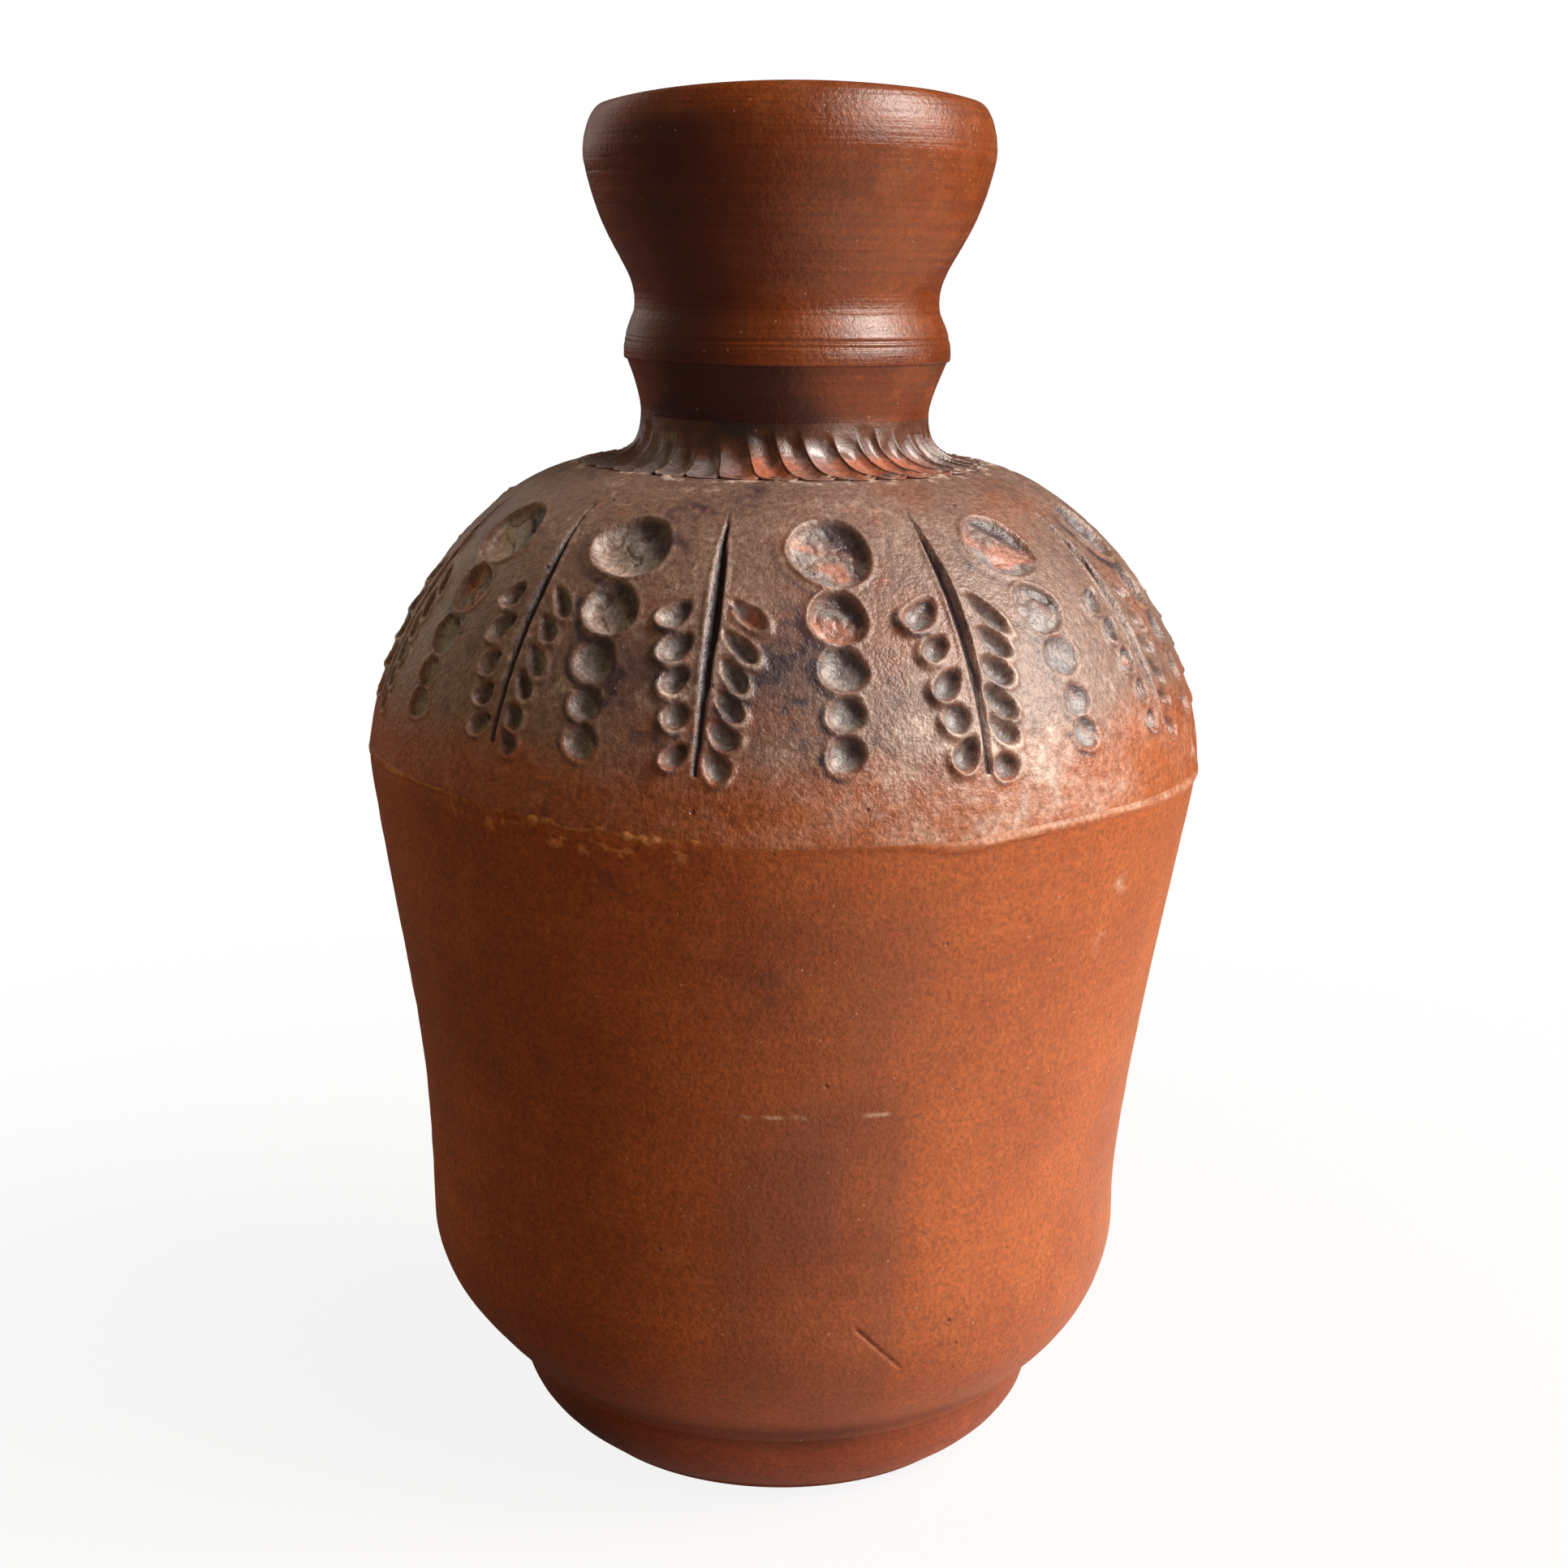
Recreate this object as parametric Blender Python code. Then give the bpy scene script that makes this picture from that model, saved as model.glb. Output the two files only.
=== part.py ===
"""Terracotta vase, built from the ten clay sections that a potter forms and lutes together.

The vase stands on its foot ring at the origin, and +Z is the axis that it was turned on.
Sections stack from the foot up. Each joint is a low tongue in a matching groove, with a thin
layer of slip between, and coils cover the joints at the seam, the neck and the mouth.
A profile is a list of (radius, height) points that runs down the outer side, along the
bottom, up the inner side and back along the top.
"""

import math

import bmesh
import bpy
from mathutils import Matrix, Vector
from mathutils.geometry import interpolate_bezier

# Heights in metres, stacked from the foot up
FOOT_HEIGHT = 0.0172
BODY_HEIGHT = 0.1095
BELLY_HEIGHT = 0.0245
SHOULDER_HEIGHT = 0.0516
COLLAR_HEIGHT = 0.0083
STEM_HEIGHT = 0.0095
RING_HEIGHT = 0.0083
CUP_HEIGHT = 0.0258
LIP_HEIGHT = 0.0098

# Radii, and widths that add to them
FOOT_RADIUS = 0.0490
FOOT_TAPER = 0.0115
FOOT_WIDTH = 0.0105
BODY_OVERHANG = 0.0010
BELLY_RADIUS = 0.0635
SEAM_RADIUS = 0.0742
NECK_RADIUS = 0.0254
COLLAR_WIDTH = 0.0108
STEM_FLARE = 0.0024
RING_THICKNESS = 0.0038
THROAT_FLARE = 0.0014
MOUTH_RADIUS = 0.0356

# Walls and joints
BODY_WALL = 0.0060
NECK_WALL = 0.0062
FLOOR_THICKNESS = 0.0065
LIP_THICKNESS = 0.0076
LIP_CREST = 0.0026
SLIP = 0.0003
TONGUE_HEIGHT = 0.0009
COLLAR_EDGE = 0.0011
SEAM_COIL_WIDTH = 0.0032
SEAM_COIL_PROUD = 0.0004

# Flutes pressed into the collar
FLUTE_WIDTH = 0.0054
FLUTE_DEPTH = 0.0010
FLUTE_SLANT = 0.0030
COLLAR_RIM = 0.0009

# Prints pressed into the shoulder: columns of round stamps between leafy fronds
# The first column stands just right of the front, which faces -Y
FIRST_COLUMN = math.radians(-82.3)
MOTIF_SPACING = 0.0147
PRINTS_BELOW_COLLAR = 0.0139
PRINTS_ABOVE_SEAM = 0.0085
PRINT_DEPTH = 0.0014
PRINT_GAP = 0.0006
STAMP_DIAMETERS = (0.0130, 0.0093, 0.0076, 0.0060, 0.0060)
STEM_WIDTH = 0.0018
STEM_BARE_LENGTH = 0.0180
LEAF_LENGTH = 0.0054
LEAF_WIDTH = 0.0033
LEAF_PITCH = 0.0050
LEAF_TILT = math.radians(38)
STAMP_FLOOR = 0.72
LEAF_FLOOR = 0.0

# Facets
TURN_STEPS = 36
STEPS_PER_FLUTE = 3
CURVE_POINTS = 6
STAMP_SIDES = 9
LEAF_SIDES = 6

# Heights and radii that follow
FOOT_BASE_RADIUS = FOOT_RADIUS - FOOT_TAPER
FOOT_BORE = FOOT_BASE_RADIUS - FOOT_WIDTH
BODY_BOTTOM = FOOT_HEIGHT + SLIP
BODY_TOP = BODY_BOTTOM + BODY_HEIGHT
BODY_FOOT_RADIUS = FOOT_RADIUS + BODY_OVERHANG
BODY_SEAT_RADIUS = BODY_FOOT_RADIUS - BODY_WALL
SHOULDER_BOTTOM = BODY_TOP + SLIP
SHOULDER_TOP = SHOULDER_BOTTOM + SHOULDER_HEIGHT
NECK_BOTTOM = SHOULDER_TOP + SLIP
NECK_BORE = NECK_RADIUS - NECK_WALL
NECK_FOOT_RADIUS = NECK_RADIUS - COLLAR_EDGE
COLLAR_RADIUS = NECK_RADIUS + COLLAR_WIDTH
COLLAR_TOP = NECK_BOTTOM + COLLAR_HEIGHT
RING_BOTTOM = COLLAR_TOP + STEM_HEIGHT
RING_TOP = RING_BOTTOM + RING_HEIGHT
NECK_TOP = RING_BOTTOM + RING_HEIGHT / 2 - SLIP / 2
CUP_BOTTOM = NECK_TOP + SLIP
CUP_TOP = RING_TOP + CUP_HEIGHT
LIP_BOTTOM = CUP_TOP + SLIP
LIP_TOP = LIP_BOTTOM + LIP_HEIGHT


def curve(start, start_pull, end_pull, end, count=CURVE_POINTS):
    """Points on a smooth curve; each pull is the handle's offset from its own end."""
    start, end = Vector(start), Vector(end)
    return interpolate_bezier(start, start + Vector(start_pull), end + Vector(end_pull), end, count)


def offset_inwards(points, wall):
    """The same curve moved in by the wall, for a curve that runs down an outer side."""
    moved = []
    for index, point in enumerate(points):
        before = points[max(index - 1, 0)]
        after = points[min(index + 1, len(points) - 1)]
        along = (after - before).normalized()
        moved.append(point + wall * Vector((along.y, -along.x)))
    return moved


def between(points, low, high):
    """Only the points whose height is between the two, so a wall ends at its joints."""
    return [point for point in points if low < point.y < high]


def tongue(outer, inner, height):
    """A joint's tongue across the middle third of its face, from the outer side in."""
    middle, half = (outer + inner) / 2, (outer - inner) / 6
    return [(middle + half, height), (middle, height + TONGUE_HEIGHT), (middle - half, height)]


def body_curve():
    """The lower body's outer side, down from the seam: a flared wall, then a round belly."""
    belly = (BELLY_RADIUS, BODY_BOTTOM + BELLY_HEIGHT)
    wall_height = BODY_HEIGHT - BELLY_HEIGHT
    wall = curve((SEAM_RADIUS, BODY_TOP), (-0.05 * wall_height, -0.35 * wall_height),
                 (0, 0.35 * wall_height), belly)
    turn = curve(belly, (0, -0.40 * BELLY_HEIGHT),
                 (0.26 * BELLY_HEIGHT, 0.23 * BELLY_HEIGHT), (BODY_FOOT_RADIUS, BODY_BOTTOM))
    return wall + turn[1:]


def shoulder_curve(count=CURVE_POINTS + 3):
    """The shoulder's outer side, down from the collar's edge: a full dome."""
    width = SEAM_RADIUS - COLLAR_RADIUS
    return curve((COLLAR_RADIUS, SHOULDER_TOP), (0.50 * width, -0.05 * SHOULDER_HEIGHT),
                 (0.02 * SHOULDER_HEIGHT, 0.35 * SHOULDER_HEIGHT), (SEAM_RADIUS, SHOULDER_BOTTOM), count)


def foot_profile():
    """A tapering ring with a tongue on its top for the body's wall."""
    side = curve((FOOT_RADIUS, FOOT_HEIGHT), (0, -0.44 * FOOT_HEIGHT),
                 (0.25 * FOOT_TAPER, 0.12 * FOOT_HEIGHT), (FOOT_BASE_RADIUS, 0))
    inner = [(FOOT_BORE, 0), (FOOT_BORE, FOOT_HEIGHT)]
    return side + inner + tongue(BODY_FOOT_RADIUS, BODY_SEAT_RADIUS, FOOT_HEIGHT)[::-1]


def floor_profile():
    """A disc with eased edges that lies on the foot ring, inside the body's wall."""
    radius, ease = BODY_SEAT_RADIUS - SLIP, FLOOR_THICKNESS / 5
    bottom, top = BODY_BOTTOM, BODY_BOTTOM + FLOOR_THICKNESS
    return [(0, top), (radius - ease, top), (radius, top - ease), (radius, bottom), (0, bottom)]


def lower_body_profile():
    """The thrown wall: its bottom sits over the foot's tongue, its rim carries the shoulder."""
    outer = body_curve()
    floor_top = BODY_BOTTOM + FLOOR_THICKNESS
    chamfer = SEAM_COIL_WIDTH / 2
    rim, inside = SEAM_RADIUS - chamfer, SEAM_RADIUS - BODY_WALL
    top = [(rim, BODY_TOP), (SEAM_RADIUS - chamfer / 8, BODY_TOP - chamfer)]
    side = between(outer, BODY_BOTTOM, BODY_TOP - chamfer)
    bottom = [(BODY_FOOT_RADIUS, BODY_BOTTOM)] + tongue(BODY_FOOT_RADIUS, BODY_SEAT_RADIUS, BODY_BOTTOM)
    bottom += [(BODY_SEAT_RADIUS, BODY_BOTTOM), (BODY_SEAT_RADIUS, floor_top)]
    inner = between(offset_inwards(outer, BODY_WALL)[::-1], floor_top, BODY_TOP - BODY_WALL / 2)
    inner = [point for point in inner if point.x > BODY_SEAT_RADIUS]
    return top + side + bottom + inner + [(inside, BODY_TOP)] + tongue(rim, inside, BODY_TOP)[::-1]


def shoulder_profile():
    """The dome from the seam to the neck's seat, with a hole as wide as the neck's bore."""
    outer = shoulder_curve()
    chamfer = SEAM_COIL_WIDTH / 2
    rim, inside = SEAM_RADIUS - chamfer, SEAM_RADIUS - BODY_WALL
    ceiling = SHOULDER_TOP - BODY_WALL
    side = between(outer, SHOULDER_BOTTOM + chamfer, SHOULDER_TOP)
    bottom = [(SEAM_RADIUS - chamfer / 8, SHOULDER_BOTTOM + chamfer), (rim, SHOULDER_BOTTOM)]
    bottom += tongue(rim, inside, SHOULDER_BOTTOM) + [(inside, SHOULDER_BOTTOM)]
    inner = between(offset_inwards(outer, BODY_WALL)[::-1], SHOULDER_BOTTOM + BODY_WALL / 2, ceiling)
    hole = [(NECK_BORE, ceiling), (NECK_BORE, SHOULDER_TOP)]
    seat = tongue(NECK_FOOT_RADIUS, NECK_BORE, SHOULDER_TOP)[::-1]
    return [(COLLAR_RADIUS, SHOULDER_TOP)] + side + bottom + inner + hole + seat


def seam_coil_profile():
    """A thin roll of clay in the groove that the chamfers of the two big sections leave."""
    half = SEAM_COIL_WIDTH / 2
    middle = BODY_TOP + SLIP / 2
    groove = SEAM_RADIUS - half + 2 * SLIP
    proud = SEAM_RADIUS + SEAM_COIL_PROUD
    return [(SEAM_RADIUS, middle + half), (proud, middle + half / 3), (proud, middle - half / 3),
            (SEAM_RADIUS, middle - half), (groove, middle)]


def neck_profile():
    """The stem: its foot is let into the collar, and its top is let into the ring."""
    stem = curve((NECK_RADIUS + STEM_FLARE, RING_BOTTOM - SLIP), (-0.06 * STEM_HEIGHT, -0.22 * STEM_HEIGHT),
                 (0, 0.30 * STEM_HEIGHT), (NECK_RADIUS, COLLAR_TOP + SLIP))
    top = [(NECK_RADIUS, NECK_TOP), (NECK_RADIUS, RING_BOTTOM - SLIP)]
    foot = [(NECK_FOOT_RADIUS, COLLAR_TOP + SLIP), (NECK_FOOT_RADIUS, NECK_BOTTOM)]
    bottom = tongue(NECK_FOOT_RADIUS, NECK_BORE, NECK_BOTTOM) + [(NECK_BORE, NECK_BOTTOM)]
    rim = [(NECK_BORE, NECK_TOP)] + tongue(NECK_RADIUS, NECK_BORE, NECK_TOP)[::-1]
    return top + stem + foot + bottom + rim


def neck_ring_profile():
    """A bulging coil over the joint of neck and mouth, with a crisp lower edge."""
    outer = curve((NECK_RADIUS + THROAT_FLARE, RING_TOP), (0.45 * RING_THICKNESS, -0.22 * RING_HEIGHT),
                  (0.10 * RING_THICKNESS, 0.42 * RING_HEIGHT),
                  (NECK_RADIUS + 0.86 * RING_THICKNESS, RING_BOTTOM))
    return outer + [(NECK_RADIUS + SLIP, RING_BOTTOM), (NECK_RADIUS + SLIP, RING_TOP)]


def mouth_cup_profile():
    """The flared mouth: its foot is let into the ring, and its rim carries the lip."""
    outer = curve((MOUTH_RADIUS, CUP_TOP), (-0.13 * CUP_HEIGHT, -0.65 * CUP_HEIGHT),
                  (-0.04 * CUP_HEIGHT, 0.30 * CUP_HEIGHT), (NECK_RADIUS + THROAT_FLARE, RING_TOP + SLIP), 8)
    inside = MOUTH_RADIUS - NECK_WALL
    foot = [(NECK_RADIUS, RING_TOP + SLIP), (NECK_RADIUS, CUP_BOTTOM)]
    bottom = tongue(NECK_RADIUS, NECK_BORE, CUP_BOTTOM) + [(NECK_BORE, CUP_BOTTOM)]
    inner = between(offset_inwards(outer, NECK_WALL)[::-1], RING_TOP, CUP_TOP - NECK_WALL / 3)
    rim = [(inside, CUP_TOP)] + tongue(MOUTH_RADIUS, inside, CUP_TOP)[::-1]
    return outer + foot + bottom + inner + rim


def lip_profile():
    """A thick rounded rim, fuller inside than the wall that it sits on."""
    inside, full = MOUTH_RADIUS - NECK_WALL, MOUTH_RADIUS - LIP_THICKNESS
    crest = (MOUTH_RADIUS - LIP_CREST, LIP_TOP)
    outer = curve(crest, (0.75 * LIP_CREST, 0), (0.08 * LIP_HEIGHT, 0.45 * LIP_HEIGHT),
                  (MOUTH_RADIUS, LIP_BOTTOM), 5)
    inner = curve((full, LIP_BOTTOM + 0.45 * LIP_HEIGHT), (0, 0.35 * LIP_HEIGHT),
                  (-0.8 * LIP_CREST, 0), crest, 4)
    bottom = tongue(MOUTH_RADIUS, inside, LIP_BOTTOM) + [(inside, LIP_BOTTOM)]
    return outer + bottom + inner[:-1]


def clay(name, colour, roughness):
    """A fired clay material."""
    material = bpy.data.materials.new(name)
    material.use_nodes = True
    shader = material.node_tree.nodes["Principled BSDF"]
    shader.inputs["Base Color"].default_value = (*colour, 1)
    shader.inputs["Roughness"].default_value = roughness
    shader.inputs["Metallic"].default_value = 0
    return material


def add_object(name, mesh, material):
    """A named piece of the vase, shaded smooth except at its edges, with its own material."""
    piece = bpy.data.objects.new(name, mesh)
    bpy.context.scene.collection.objects.link(piece)
    if material:
        mesh.materials.append(material)
        mesh.shade_smooth()
        mesh.set_sharp_from_angle(angle=math.radians(35))
    return piece


def add_turned(name, profile, material, closed=True):
    """A profile turned once around the axis; an open one starts and ends on the axis."""
    mesh = bpy.data.meshes.new(name)
    count = len(profile)
    edges = [(index, index + 1) for index in range(count - 1)]
    if closed:
        edges.append((count - 1, 0))
    mesh.from_pydata([(radius, 0, height) for radius, height in profile], edges, [])
    piece = add_object(name, mesh, material)
    screw = piece.modifiers.new("turned", "SCREW")
    screw.steps = screw.render_steps = TURN_STEPS
    screw.use_merge_vertices = True
    screw.merge_threshold = 0.00001
    screw.use_smooth_shade = True
    return piece


def add_collar(material):
    """A flared coil over the neck's joint, with slanting scooped flutes around its outside."""
    flutes = round(math.tau * COLLAR_RADIUS / FLUTE_WIDTH)
    inside = NECK_FOOT_RADIUS + SLIP
    outer = curve((NECK_RADIUS, COLLAR_TOP), (0, -0.80 * COLLAR_HEIGHT),
                  (-0.55 * COLLAR_WIDTH, 0.04 * COLLAR_HEIGHT),
                  (COLLAR_RADIUS, NECK_BOTTOM + COLLAR_RIM), 5)
    flat = [(COLLAR_RADIUS - COLLAR_RIM / 2, NECK_BOTTOM), (inside, NECK_BOTTOM), (inside, COLLAR_TOP)]
    steps = flutes * STEPS_PER_FLUTE
    mesh = bmesh.new()
    loops = []
    for step in range(steps):
        scoop = math.sin(math.pi * (step % STEPS_PER_FLUTE) / STEPS_PER_FLUTE)
        loop = []
        for index, (radius, height) in enumerate(outer):
            share = index / (len(outer) - 1)
            depth = FLUTE_DEPTH * scoop * math.sin(math.pi * share) ** 0.5
            angle = math.tau * step / steps - FLUTE_SLANT * (1 - share) / NECK_RADIUS
            cut = max(radius - depth, NECK_RADIUS)
            loop.append(mesh.verts.new((cut * math.cos(angle), cut * math.sin(angle), height)))
        for radius, height in flat:
            angle = math.tau * step / steps
            loop.append(mesh.verts.new((radius * math.cos(angle), radius * math.sin(angle), height)))
        loops.append(loop)
    for step, loop in enumerate(loops):
        following = loops[(step + 1) % steps]
        for index in range(len(loop)):
            below = (index + 1) % len(loop)
            mesh.faces.new((loop[index], loop[below], following[below], following[index]))
    bmesh.ops.recalc_face_normals(mesh, faces=mesh.faces)
    data = bpy.data.meshes.new("collar")
    mesh.to_mesh(data)
    mesh.free()
    return add_object("collar", data, material)


class ShoulderSurface:
    """Places on the shoulder's outside, by distance down from the collar and by angle."""

    def __init__(self):
        self.points = shoulder_curve(80)
        self.lengths = [0.0]
        for before, after in zip(self.points, self.points[1:]):
            self.lengths.append(self.lengths[-1] + (after - before).length)
        self.length = self.lengths[-1]

    def place(self, down, angle):
        """A matrix at that place: X runs around, Y runs up the surface, Z points out."""
        index = max(1, sum(1 for length in self.lengths[:-1] if length < down))
        before, after = self.points[index - 1], self.points[index]
        share = (down - self.lengths[index - 1]) / (self.lengths[index] - self.lengths[index - 1])
        spot = before.lerp(after, share)
        slope = (after - before).normalized()
        outwards = Vector((math.cos(angle), math.sin(angle), 0))
        around = Vector((-math.sin(angle), math.cos(angle), 0))
        upright = Vector((0, 0, 1))
        uphill = -slope.x * outwards - slope.y * upright
        normal = around.cross(uphill)
        spin = Matrix((around, uphill, normal)).transposed().to_4x4()
        return Matrix.Translation(spot.x * outwards + spot.y * upright) @ spin


def add_dish(mesh, place, width, length, floor, sides):
    """A cutter for one pressed print: a tapered plug whose floor is a share of its width."""
    proud = PRINT_DEPTH / 2
    size = Matrix.Diagonal((width / 2, length / 2, 1, 1))
    centre = Matrix.Translation((0, 0, (proud - PRINT_DEPTH) / 2))
    top = 1 + (1 - floor) * proud / PRINT_DEPTH
    bmesh.ops.create_cone(mesh, cap_ends=True, segments=sides, radius1=floor, radius2=top,
                          depth=PRINT_DEPTH + proud, matrix=place @ centre @ size)


def add_stem(mesh, surface, angle, start, end):
    """A cutter for a frond's stem: a wedge that follows the dome and is pointed at its top."""
    stations = 7
    rows = []
    for station in range(stations):
        share = station / (stations - 1)
        place = surface.place(start + share * (end - start), angle)
        half = STEM_WIDTH * (0.25 + 0.75 * min(1, 3 * share))
        corners = ((-half, 0, PRINT_DEPTH), (half, 0, PRINT_DEPTH), (0, 0, -PRINT_DEPTH))
        rows.append([mesh.verts.new(place @ Vector(corner)) for corner in corners])
    for upper, lower in zip(rows, rows[1:]):
        for index in range(3):
            beside = (index + 1) % 3
            mesh.faces.new((upper[index], upper[beside], lower[beside], lower[index]))
    mesh.faces.new(rows[0])
    mesh.faces.new(rows[-1][::-1])


def add_stamp_column(mesh, surface, angle):
    """Round prints one below the other, from the largest to the smallest, as far as they fit."""
    down = PRINTS_BELOW_COLLAR
    for diameter in STAMP_DIAMETERS:
        if down + diameter > surface.length - PRINTS_ABOVE_SEAM:
            break
        add_dish(mesh, surface.place(down + diameter / 2, angle), diameter, diameter, STAMP_FLOOR, STAMP_SIDES)
        down += diameter + PRINT_GAP


def add_frond(mesh, surface, angle):
    """A pointed stem with slanting leaf prints in pairs along its lower part."""
    start, end = PRINTS_BELOW_COLLAR, surface.length - PRINTS_ABOVE_SEAM
    add_stem(mesh, surface, angle, start, end)
    reach = LEAF_LENGTH * math.sin(LEAF_TILT) + LEAF_WIDTH * math.cos(LEAF_TILT)
    aside = STEM_WIDTH / 2 + PRINT_GAP + reach / 2
    down = start + STEM_BARE_LENGTH
    while down + LEAF_LENGTH / 2 < end:
        for side in (-1, 1):
            turn = Matrix.Rotation(side * LEAF_TILT, 4, "Z")
            place = surface.place(down, angle) @ Matrix.Translation((side * aside, 0, 0)) @ turn
            add_dish(mesh, place, LEAF_WIDTH, LEAF_LENGTH, LEAF_FLOOR, LEAF_SIDES)
        down += LEAF_PITCH


def add_print_cutter():
    """All the prints as one hidden cutter, columns and fronds by turns around the shoulder."""
    surface = ShoulderSurface()
    widest_print = PRINTS_BELOW_COLLAR + STAMP_DIAMETERS[0] / 2
    girth = math.tau * surface.place(widest_print, 0).translation.xy.length
    pairs = int(girth / (2 * MOTIF_SPACING))
    mesh = bmesh.new()
    for pair in range(pairs):
        angle = FIRST_COLUMN + math.tau * pair / pairs
        add_stamp_column(mesh, surface, angle)
        add_frond(mesh, surface, angle + math.pi / pairs)
    bmesh.ops.recalc_face_normals(mesh, faces=mesh.faces)
    data = bpy.data.meshes.new("shoulder_prints")
    mesh.to_mesh(data)
    mesh.free()
    cutter = add_object("shoulder_prints", data, None)
    cutter.hide_render = True
    cutter.display_type = "WIRE"
    return cutter


def add_shoulder(material):
    """The dome with the prints cut into its outside."""
    shoulder = add_turned("shoulder", shoulder_profile(), material)
    press = shoulder.modifiers.new("prints", "BOOLEAN")
    press.operation = "DIFFERENCE"
    press.solver = "EXACT"
    press.use_self = True
    press.object = add_print_cutter()
    return shoulder


def main():
    """Clear the scene, then add the pieces from the foot up."""
    for old in list(bpy.data.objects):
        bpy.data.objects.remove(old)
    add_turned("foot_ring", foot_profile(), clay("foot clay", (0.29, 0.085, 0.035), 0.60))
    add_turned("floor_disc", floor_profile(), clay("floor clay", (0.34, 0.11, 0.05), 0.70), closed=False)
    add_turned("lower_body", lower_body_profile(), clay("orange clay", (0.42, 0.13, 0.05), 0.55))
    add_turned("seam_coil", seam_coil_profile(), clay("seam slip", (0.48, 0.19, 0.08), 0.60))
    add_shoulder(clay("smoked clay", (0.22, 0.12, 0.085), 0.50))
    add_turned("neck", neck_profile(), clay("neck clay", (0.27, 0.085, 0.04), 0.50))
    add_collar(clay("collar clay", (0.25, 0.13, 0.10), 0.50))
    add_turned("neck_ring", neck_ring_profile(), clay("ring clay", (0.31, 0.10, 0.05), 0.48))
    add_turned("mouth_cup", mouth_cup_profile(), clay("mouth clay", (0.30, 0.09, 0.04), 0.50))
    add_turned("lip", lip_profile(), clay("lip clay", (0.33, 0.11, 0.06), 0.48))


main()
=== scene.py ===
"""Looks of the terracotta vase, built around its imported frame.

Each clay section of the frame is replaced by a finer surface of the same size: the thrown wall
with its turning lines, the pressed prints, the fluted collar, the luted seam and the marks of
use. Every surface is a grid: rows follow a turned profile, columns go around the axis. An angle
is measured around the axis from the front, which faces -Y, and grows to the camera's right.
Lengths are millimetres until a mesh is written, unless a name says otherwise. A path is an
array of rows of radius and height.
"""

import itertools
import logging
import math
from dataclasses import dataclass
from enum import Enum

import bpy
import numpy as np
from mathutils import Matrix, Vector


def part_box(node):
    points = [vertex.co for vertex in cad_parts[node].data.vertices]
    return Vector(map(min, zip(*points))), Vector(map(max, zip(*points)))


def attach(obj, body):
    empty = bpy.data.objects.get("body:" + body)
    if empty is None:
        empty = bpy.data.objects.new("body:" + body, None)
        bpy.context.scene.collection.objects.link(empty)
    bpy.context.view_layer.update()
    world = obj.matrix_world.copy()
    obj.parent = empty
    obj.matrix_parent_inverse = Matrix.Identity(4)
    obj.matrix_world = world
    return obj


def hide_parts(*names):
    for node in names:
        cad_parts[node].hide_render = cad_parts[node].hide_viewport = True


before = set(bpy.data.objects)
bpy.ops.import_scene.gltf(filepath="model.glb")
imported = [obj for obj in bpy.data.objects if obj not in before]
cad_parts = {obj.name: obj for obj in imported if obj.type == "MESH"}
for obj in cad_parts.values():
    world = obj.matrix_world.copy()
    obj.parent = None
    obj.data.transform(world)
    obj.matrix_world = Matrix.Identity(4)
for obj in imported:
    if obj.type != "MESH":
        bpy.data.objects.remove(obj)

MM = 0.001
IMAGE_SIDE = 1932
# A mix node that works on colours: its inputs are the share (0), the lower colour (6) and the upper (7)
COLOURS = {"data_type": "RGBA", "output": 2}
Array = np.ndarray
Tree = bpy.types.NodeTree
Socket = bpy.types.NodeSocket
log = logging.getLogger("terracotta_vase")


class Stain(Enum):
    """What lies on the clay, painted shade and highlights too, lowest layer first; each value names a point
    attribute of the mesh.
    """

    ASH = "ash"
    # Smoke, and painted shade in hollows, cracks, creases, under the neck and on the shaded left side
    SOOT = "soot_and_shade"
    GREY = "grey"
    # Bare red clay, and at the seam a highlight painted along the bead
    BARE = "bare"
    # Pale crumbs, chips and scratches, and on the shoulder a painted sheen and painted highlights in the
    # prints
    DUST = "dust_and_sheen"


def ease(value: Array, low: float, high: float) -> Array:
    """Smooth step: 0 up to low, 1 from high on, and 3 s^2 - 2 s^3 between."""
    share = np.clip((value - low) / (high - low), 0.0, 1.0)
    return share * share * (3.0 - 2.0 * share)


def hump(value: Array, centre: float, spread: float) -> Array:
    """Bell curve: e to the minus square of the distance over the spread."""
    return np.exp(-(((value - centre) / spread) ** 2))


def turn_from(angle: Array, centre: float) -> Array:
    """Angle from centre, wrapped to the half turn on either side."""
    return (angle - centre + np.pi) % math.tau - np.pi


def degrees_right(angle: Array) -> Array:
    """Degrees to the right of the front, from -180 to 180."""
    return np.degrees(turn_from(angle, 0.0))


def cubic(start: tuple, start_pull: tuple, end_pull: tuple, end: tuple, count: int) -> Array:
    """Points of a cubic curve whose handles are its ends plus their pulls.

    Args:
        start, end: Radius and height of the two ends.
        start_pull, end_pull: Offset of each handle from its own end.
        count: Number of points, both ends included.

    Returns:
        A path of count rows.
    """
    first, last = np.array(start, float), np.array(end, float)
    handle, other = first + start_pull, last + end_pull
    t = np.linspace(0.0, 1.0, count)[:, None]
    return (1 - t) ** 3 * first + 3 * (1 - t) ** 2 * t * handle + 3 * (1 - t) * t**2 * other + t**3 * last


def directions(path: Array) -> Array:
    """Unit vectors along a path."""
    along = np.gradient(path, axis=0)
    return along / np.linalg.norm(along, axis=1, keepdims=True)


def raised(path: Array, relief: Array) -> tuple:
    """Radius and height of a path that runs down an outer side, moved out square to itself."""
    along = directions(path)
    return path[:, :1] - along[:, 1:] * relief, path[:, 1:] + along[:, :1] * relief


def offset_inwards(path: Array, wall: float) -> Array:
    """A path that runs down an outer side, moved in by the wall's thickness."""
    return np.concatenate(raised(path, -wall), axis=1)


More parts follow.
